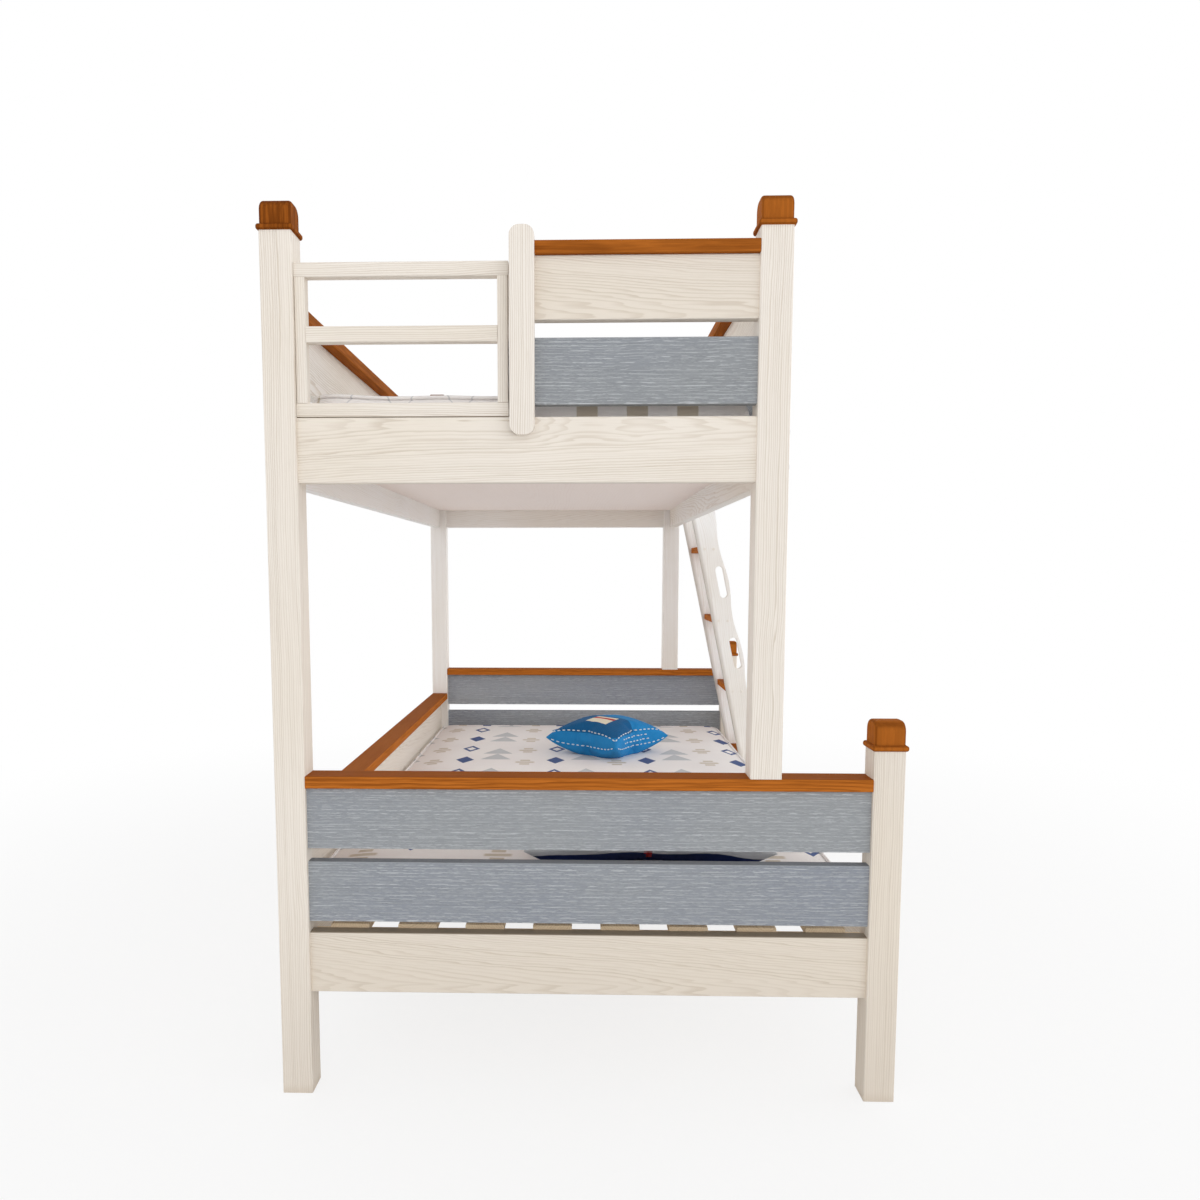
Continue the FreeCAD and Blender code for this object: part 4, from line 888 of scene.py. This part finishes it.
def cushion_stitches(cushion, middle, look):
    """White running stitches: two rows round the sides, and two short rows between them."""
    tree = BVHTree.FromObject(cushion, bpy.context.evaluated_depsgraph_get())
    skin = bmesh.new()
    half = CUSHION_SIDE / 2

    def on_side(quarter, share, height):
        """A point of the cushion's side, seen square on, just proud of the cloth."""
        angle = CUSHION_TURN + quarter * math.pi / 2
        out = Vector((math.cos(angle), math.sin(angle), 0))
        along = Vector((-out.y, out.x, 0))
        start = middle + out * 0.4 + along * (share * half) + UP * height
        spot, facing, _, _ = tree.ray_cast(start, -out)
        if spot is None:
            raise RuntimeError("a stitch misses the cushion")
        return spot + facing * 0.0004

    def row(quarter, start, end, height):
        """A row of stitches along a side, which closes in on the seam towards the corners."""
        share = start
        while share < end:
            places = [share + STITCH_LENGTH * part for part in (0.0, 0.25, 0.75, 1.0)]
            spots = [on_side(quarter, place, height * (1 - abs(place) ** 4)) for place in places]
            add_stitch(skin, spots, STITCH_RADIUS)
            share += STITCH_PITCH

    for height in (-0.026, 0.026):
        for quarter in range(4):
            row(quarter, -0.86, 0.86, height)
    row(3, -0.5, 0.4, 0.008)
    row(3, -0.44, 0.46, -0.008)
    piece = to_piece(to_mesh("cushion_stitches", skin), thread_cloth(look))
    settle(piece, "throw_cushion")


def pillow_cloth(look, middle):
    """Pale cotton above the seam, navy below it, with a wavy border."""
    sheet = new_sheet("pillow_cloth")
    lie = sheet.shift(sheet.place(), -middle)
    across, along, up = (sheet.reach(lie, way) for way in (ACROSS_X, ACROSS_Y, UP))
    cloth = weave(sheet, across, along, 0.0016)
    mottle = sheet.cloud(sheet.join(across * 12, along * 12, up * 12), 3.0)
    slub = sheet.cloud(sheet.join(across * 50, along * 650, up * 650), 2.0, 0.6)
    shade = sheet.mix(mottle.step(0.4, 0.8) * 0.3, look.pillow, tone(196, 197, 201))
    shade = sheet.mix(slub.step(0.5, 0.8) * 0.25, shade, tone(190, 191, 194))
    wave = (across * (2 * math.pi / 0.19)).sine() * 0.003 + (mottle - 0.5) * 0.008
    lower = (up + wave).step(-0.022, -0.024)
    shade = sheet.mix(lower, shade, look.navy)
    creases = sheet.cloud(sheet.join(across * 18, along * 18, up * 30), 3.0, 0.55)
    relief = sheet.bump(cloth * 0.2 + slub * 0.3 + creases * 1.6, 0.0012)
    return sheet.finish(shade, 0.8 + slub * 0.1, relief, 0.06, **{"Sheen Weight": 0.04})


def ribbon_cloth(look):
    """Red ribbon with fine ribs."""
    sheet = new_sheet("ribbon")
    place = sheet.place()
    across, up = (sheet.reach(place, way) for way in (ACROSS_X, UP))
    rib = (up * (2 * math.pi / 0.0012)).sine() * 0.5 + 0.5
    woven = rib * 0.3 + abs(across % 0.004 - 0.002).step(0.002, 0.0) * 0.1
    shade = sheet.mix(woven, look.red, tone(128, 22, 28))
    return sheet.finish(shade, 0.6 + rib * 0.1, sheet.bump(rib, 0.0003), 0.2)


def pillow_loop(pillow, middle, front, look):
    """A folded ribbon sewn into the near seam of the pillow."""
    tree = BVHTree.FromObject(pillow, bpy.context.evaluated_depsgraph_get())
    profile = []
    for height in (0.004, -0.005, -0.014, -0.023, -0.032, -0.04):
        start = Vector((middle.x, front - 0.1, middle.z + height))
        spot, _, _, _ = tree.ray_cast(start, Vector((0, 1, 0)))
        if spot is None:
            raise RuntimeError("the loop misses the pillow")
        profile.append(spot + Vector((0, -0.0006, 0)))
    skin = bmesh.new()
    rows = []
    for spot in profile:
        row = [Vector((side * LOOP_HALF_WIDTH, 0, 0)) for side in (-1, 0, 1)]
        row += [Vector((side * LOOP_HALF_WIDTH, LOOP_THICKNESS, 0)) for side in (1, 0, -1)]
        rows.append([skin.verts.new(spot + corner) for corner in row])
    for above, below in zip(rows, rows[1:]):
        for step in range(6):
            following = (step + 1) % 6
            skin.faces.new([above[step], below[step], below[following], above[following]])
    skin.faces.new(rows[0])
    skin.faces.new(rows[-1][::-1])
    bmesh.ops.recalc_face_normals(skin, faces=skin.faces)
    piece = to_piece(to_mesh("pillow_loop", skin), ribbon_cloth(look))
    settle(piece, "pillow")


# Operators


class WhiteTimber(bpy.types.Operator):
    """Give posts, rails, white boards, the access frame and the ladder's sides their white wash"""
    bl_idname = "bunk_bed.white_timber"
    bl_label = "White timber"

    def execute(self, context):
        dress_all(WHITE_PIECES, white_wash, context.scene.bunk_timber)
        return {"FINISHED"}


class HoneyTimber(bpy.types.Operator):
    """Give post tops, caps and treads their brown stain"""
    bl_idname = "bunk_bed.honey_timber"
    bl_label = "Honey timber"

    def execute(self, context):
        dress_all(HONEY_PIECES, honey_stain, context.scene.bunk_timber)
        return {"FINISHED"}


class GreyBoards(bpy.types.Operator):
    """Give the end boards and guard panels their brushed grey stain"""
    bl_idname = "bunk_bed.grey_boards"
    bl_label = "Grey boards"

    def execute(self, context):
        dress_all(GREY_PIECES, grey_stain, context.scene.bunk_timber)
        return {"FINISHED"}


class DeckAndSlats(bpy.types.Operator):
    """Give the deck its veneer, and slats, bearers, cleats and pins their bare pine"""
    bl_idname = "bunk_bed.deck_and_slats"
    bl_label = "Deck and slats"

    def execute(self, context):
        look = context.scene.bunk_timber
        dress("deck_panel", veneer("deck_panel", SIDE_CAP, look))
        dress_all(BARE_PIECES, bare_pine, look)
        return {"FINISHED"}


class Hardware(bpy.types.Operator):
    """Give hooks, brackets, bolts and screws their zinc"""
    bl_idname = "bunk_bed.hardware"
    bl_label = "Hardware"

    def execute(self, context):
        look = context.scene.bunk_timber
        plating = zinc("zinc", look.steel)
        for node in STEEL_PIECES:
            dress(node, plating)
        dress("ladder_screws", zinc("painted_zinc", look.white, Metallic=0.0))
        return {"FINISHED"}


class Mattresses(bpy.types.Operator):
    """Make both mattresses with their piping"""
    bl_idname = "bunk_bed.mattresses"
    bl_label = "Mattresses"

    def execute(self, context):
        look = context.scene.bunk_bedding
        mattress("lower_mattress", diamond_cover(look), look,
                 drop=0.012, crown=0.0105, ripples=0.0014, sway=0.001)
        mattress("upper_mattress", block_cover(look), look,
                 drop=0.002, crown=0.007, ripples=0.0035, sway=0.006)
        return {"FINISHED"}


class Cushion(bpy.types.Operator):
    """Make the blue cushion with its stitches"""
    bl_idname = "bunk_bed.cushion"
    bl_label = "Cushion"

    def execute(self, context):
        look = context.scene.bunk_bedding
        low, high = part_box("throw_cushion")
        middle = (low + high) / 2
        half = CUSHION_SIDE / 2
        thick = (high.z - low.z) / 2
        piece = stuffed("cushion_cover", half, half, thick, draw=0.016, cell=0.0065,
                        material=cushion_cloth(look, middle))
        piece.data.transform(Matrix.Translation(middle) @ Matrix.Rotation(CUSHION_TURN, 4, "Z"))
        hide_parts("throw_cushion")
        settle(piece, "throw_cushion")
        cushion_stitches(piece, middle, look)
        return {"FINISHED"}


class Pillow(bpy.types.Operator):
    """Make the pillow with its ribbon loop"""
    bl_idname = "bunk_bed.pillow"
    bl_label = "Pillow"

    def execute(self, context):
        look = context.scene.bunk_bedding
        low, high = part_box("pillow")
        middle = (low + high) / 2
        half = (high - low) / 2
        piece = stuffed("pillow_cover", half.x, half.y, half.z, draw=0.02, cell=0.009,
                        material=pillow_cloth(look, middle))
        piece.data.transform(Matrix.Translation(middle))
        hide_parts("pillow")
        settle(piece, "pillow")
        pillow_loop(piece, middle, low.y, look)
        return {"FINISHED"}


class Stage(bpy.types.Operator):
    """Set the floor, the light and the camera"""
    bl_idname = "bunk_bed.stage"
    bl_label = "Stage"

    def execute(self, context):
        setting = context.scene.bunk_stage
        context.scene.view_settings.view_transform = "Standard"
        make_floor(setting)
        make_sky(setting)
        for name, power, place in LAMPS:
            make_lamp(name, power * setting.lamps, place)
        make_camera(setting)
        return {"FINISHED"}


def seen(sheet):
    """1 where the eye, a reflection or a view through glass meets the surface."""
    rays = [sheet.node("ShaderNodeLightPath", {}, {}, name)
            for name in ("Is Camera Ray", "Is Glossy Ray", "Is Transmission Ray")]
    return rays[0].larger(rays[1]).larger(rays[2])


FLOOR_REACH = 30
FLOOR_DROP = 0.0004  # keeps the floor out of the plane of the posts' ends


def make_floor(setting):
    """A wide pale floor that turns white away from the bed."""
    skin = bmesh.new()
    bmesh.ops.create_grid(skin, x_segments=4, y_segments=4, size=FLOOR_REACH)
    bmesh.ops.translate(skin, verts=skin.verts, vec=(0, 0, -FLOOR_DROP))
    sheet = new_sheet("floor")
    place = sheet.place()
    across, along = sheet.reach(place, ACROSS_X), sheet.reach(place, ACROSS_Y)
    away = (across * across + along * along).root().step(1.2, 4.0)
    grit = sheet.cloud(sheet.join(across * 35, along * 35, 0.0), 3.0)
    shade = sheet.mix(grit * 0.2, setting.floor, tone(232, 232, 232))
    paint = sheet.node("ShaderNodeBsdfPrincipled", {}, {"Base Color": shade, "Roughness": 0.9})
    glow = sheet.node("ShaderNodeEmission", {}, {"Strength": 1.0})
    mixed = sheet.node("ShaderNodeMixShader", {}, {0: seen(sheet) * (away * 0.2 + 0.8), 1: paint, 2: glow})
    sheet.node("ShaderNodeOutputMaterial", {}, {"Surface": mixed})
    to_piece(to_mesh("floor", skin), sheet.owner)


SKY_FALL = 0.75  # share of the sky's light that is missing straight above
SKY_LEAN = 0.13  # share of it that the open side has more, and the wall side less


def make_sky(setting):
    """Soft light all round, weaker from above, seen as plain white."""
    world = bpy.data.worlds.new("studio")
    bpy.context.scene.world = world
    sheet = Sheet(world)
    way = sheet.node("ShaderNodeTexCoord", {}, {}, "Generated")
    fall = 1 - sheet.reach(way, UP).larger(0) * SKY_FALL
    strength = fall * (sheet.reach(way, ACROSS_X) * SKY_LEAN + 1) * setting.sky
    light = sheet.node("ShaderNodeBackground", {}, {"Color": (1, 1, 1, 1), "Strength": strength})
    white = sheet.node("ShaderNodeBackground", {}, {"Color": (1, 1, 1, 1), "Strength": 1.0})
    mixed = sheet.node("ShaderNodeMixShader", {}, {0: seen(sheet), 1: light, 2: white})
    sheet.node("ShaderNodeOutputWorld", {}, {"Surface": mixed})


# Name, power in watts and place of each lamp
LAMPS = (("foot_lamp", 12, (-0.6, -4.6, 3.2)), ("open_lamp", 30, (5.0, 0.0, 1.7)))
LAMP_WIDTH, LAMP_HEIGHT = 3.0, 2.0
BED_MIDDLE = Vector((0, 0, 0.9)).freeze()


def make_lamp(name, power, place):
    """A broad soft lamp turned to the middle of the bed."""
    lamp = bpy.data.lights.new(name, "AREA")
    lamp.shape = "RECTANGLE"
    lamp.size = LAMP_WIDTH
    lamp.size_y = LAMP_HEIGHT
    lamp.energy = power
    carrier = bpy.data.objects.new(name, lamp)
    carrier.visible_camera = False
    carrier.location = place
    carrier.rotation_euler = (BED_MIDDLE - carrier.location).to_track_quat("-Z", "Y").to_euler()
    bpy.context.scene.collection.objects.link(carrier)


CAMERA_SHIFT = (0.03725, 0.04771)  # how far the picture is cut off its middle, in picture widths


def make_camera(setting):
    """The photograph's camera."""
    camera = bpy.data.cameras.new("camera")
    camera.lens = setting.lens
    camera.sensor_width = 36
    camera.shift_x, camera.shift_y = CAMERA_SHIFT
    carrier = bpy.data.objects.new("camera", camera)
    carrier.location = setting.camera
    carrier.rotation_euler = (math.pi / 2 - setting.pitch, 0, setting.turn)
    bpy.context.scene.collection.objects.link(carrier)
    bpy.context.scene.camera = carrier


OPERATORS = (WhiteTimber, HoneyTimber, GreyBoards, DeckAndSlats, Hardware, Mattresses, Cushion, Pillow, Stage)


class BunkBedPanel(bpy.types.Panel):
    """The bunk bed's settings and steps"""
    bl_idname = "VIEW3D_PT_bunk_bed"
    bl_label = "Bunk bed"
    bl_space_type = "VIEW_3D"
    bl_region_type = "UI"
    bl_category = "Bunk bed"

    def draw(self, context):
        scene = context.scene
        for group in (scene.bunk_timber, scene.bunk_bedding, scene.bunk_stage):
            box = self.layout.box()
            for name in group.__annotations__:
                box.prop(group, name)
        for operator in OPERATORS:
            self.layout.operator(operator.bl_idname)


CLASSES = (TimberFinish, BeddingFinish, StageSetting, *OPERATORS, BunkBedPanel)


def register():
    for kind in CLASSES:
        bpy.utils.register_class(kind)
    bpy.types.Scene.bunk_timber = PointerProperty(type=TimberFinish)
    bpy.types.Scene.bunk_bedding = PointerProperty(type=BeddingFinish)
    bpy.types.Scene.bunk_stage = PointerProperty(type=StageSetting)


def unregister():
    del bpy.types.Scene.bunk_stage
    del bpy.types.Scene.bunk_bedding
    del bpy.types.Scene.bunk_timber
    for kind in reversed(CLASSES):
        bpy.utils.unregister_class(kind)


def main():
    """Register the add-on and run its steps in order."""
    register()
    bpy.ops.bunk_bed.stage()
    bpy.ops.bunk_bed.white_timber()
    bpy.ops.bunk_bed.honey_timber()
    bpy.ops.bunk_bed.grey_boards()
    bpy.ops.bunk_bed.deck_and_slats()
    bpy.ops.bunk_bed.hardware()
    bpy.ops.bunk_bed.mattresses()
    bpy.ops.bunk_bed.cushion()
    bpy.ops.bunk_bed.pillow()


if __name__ == "__main__":
    main()
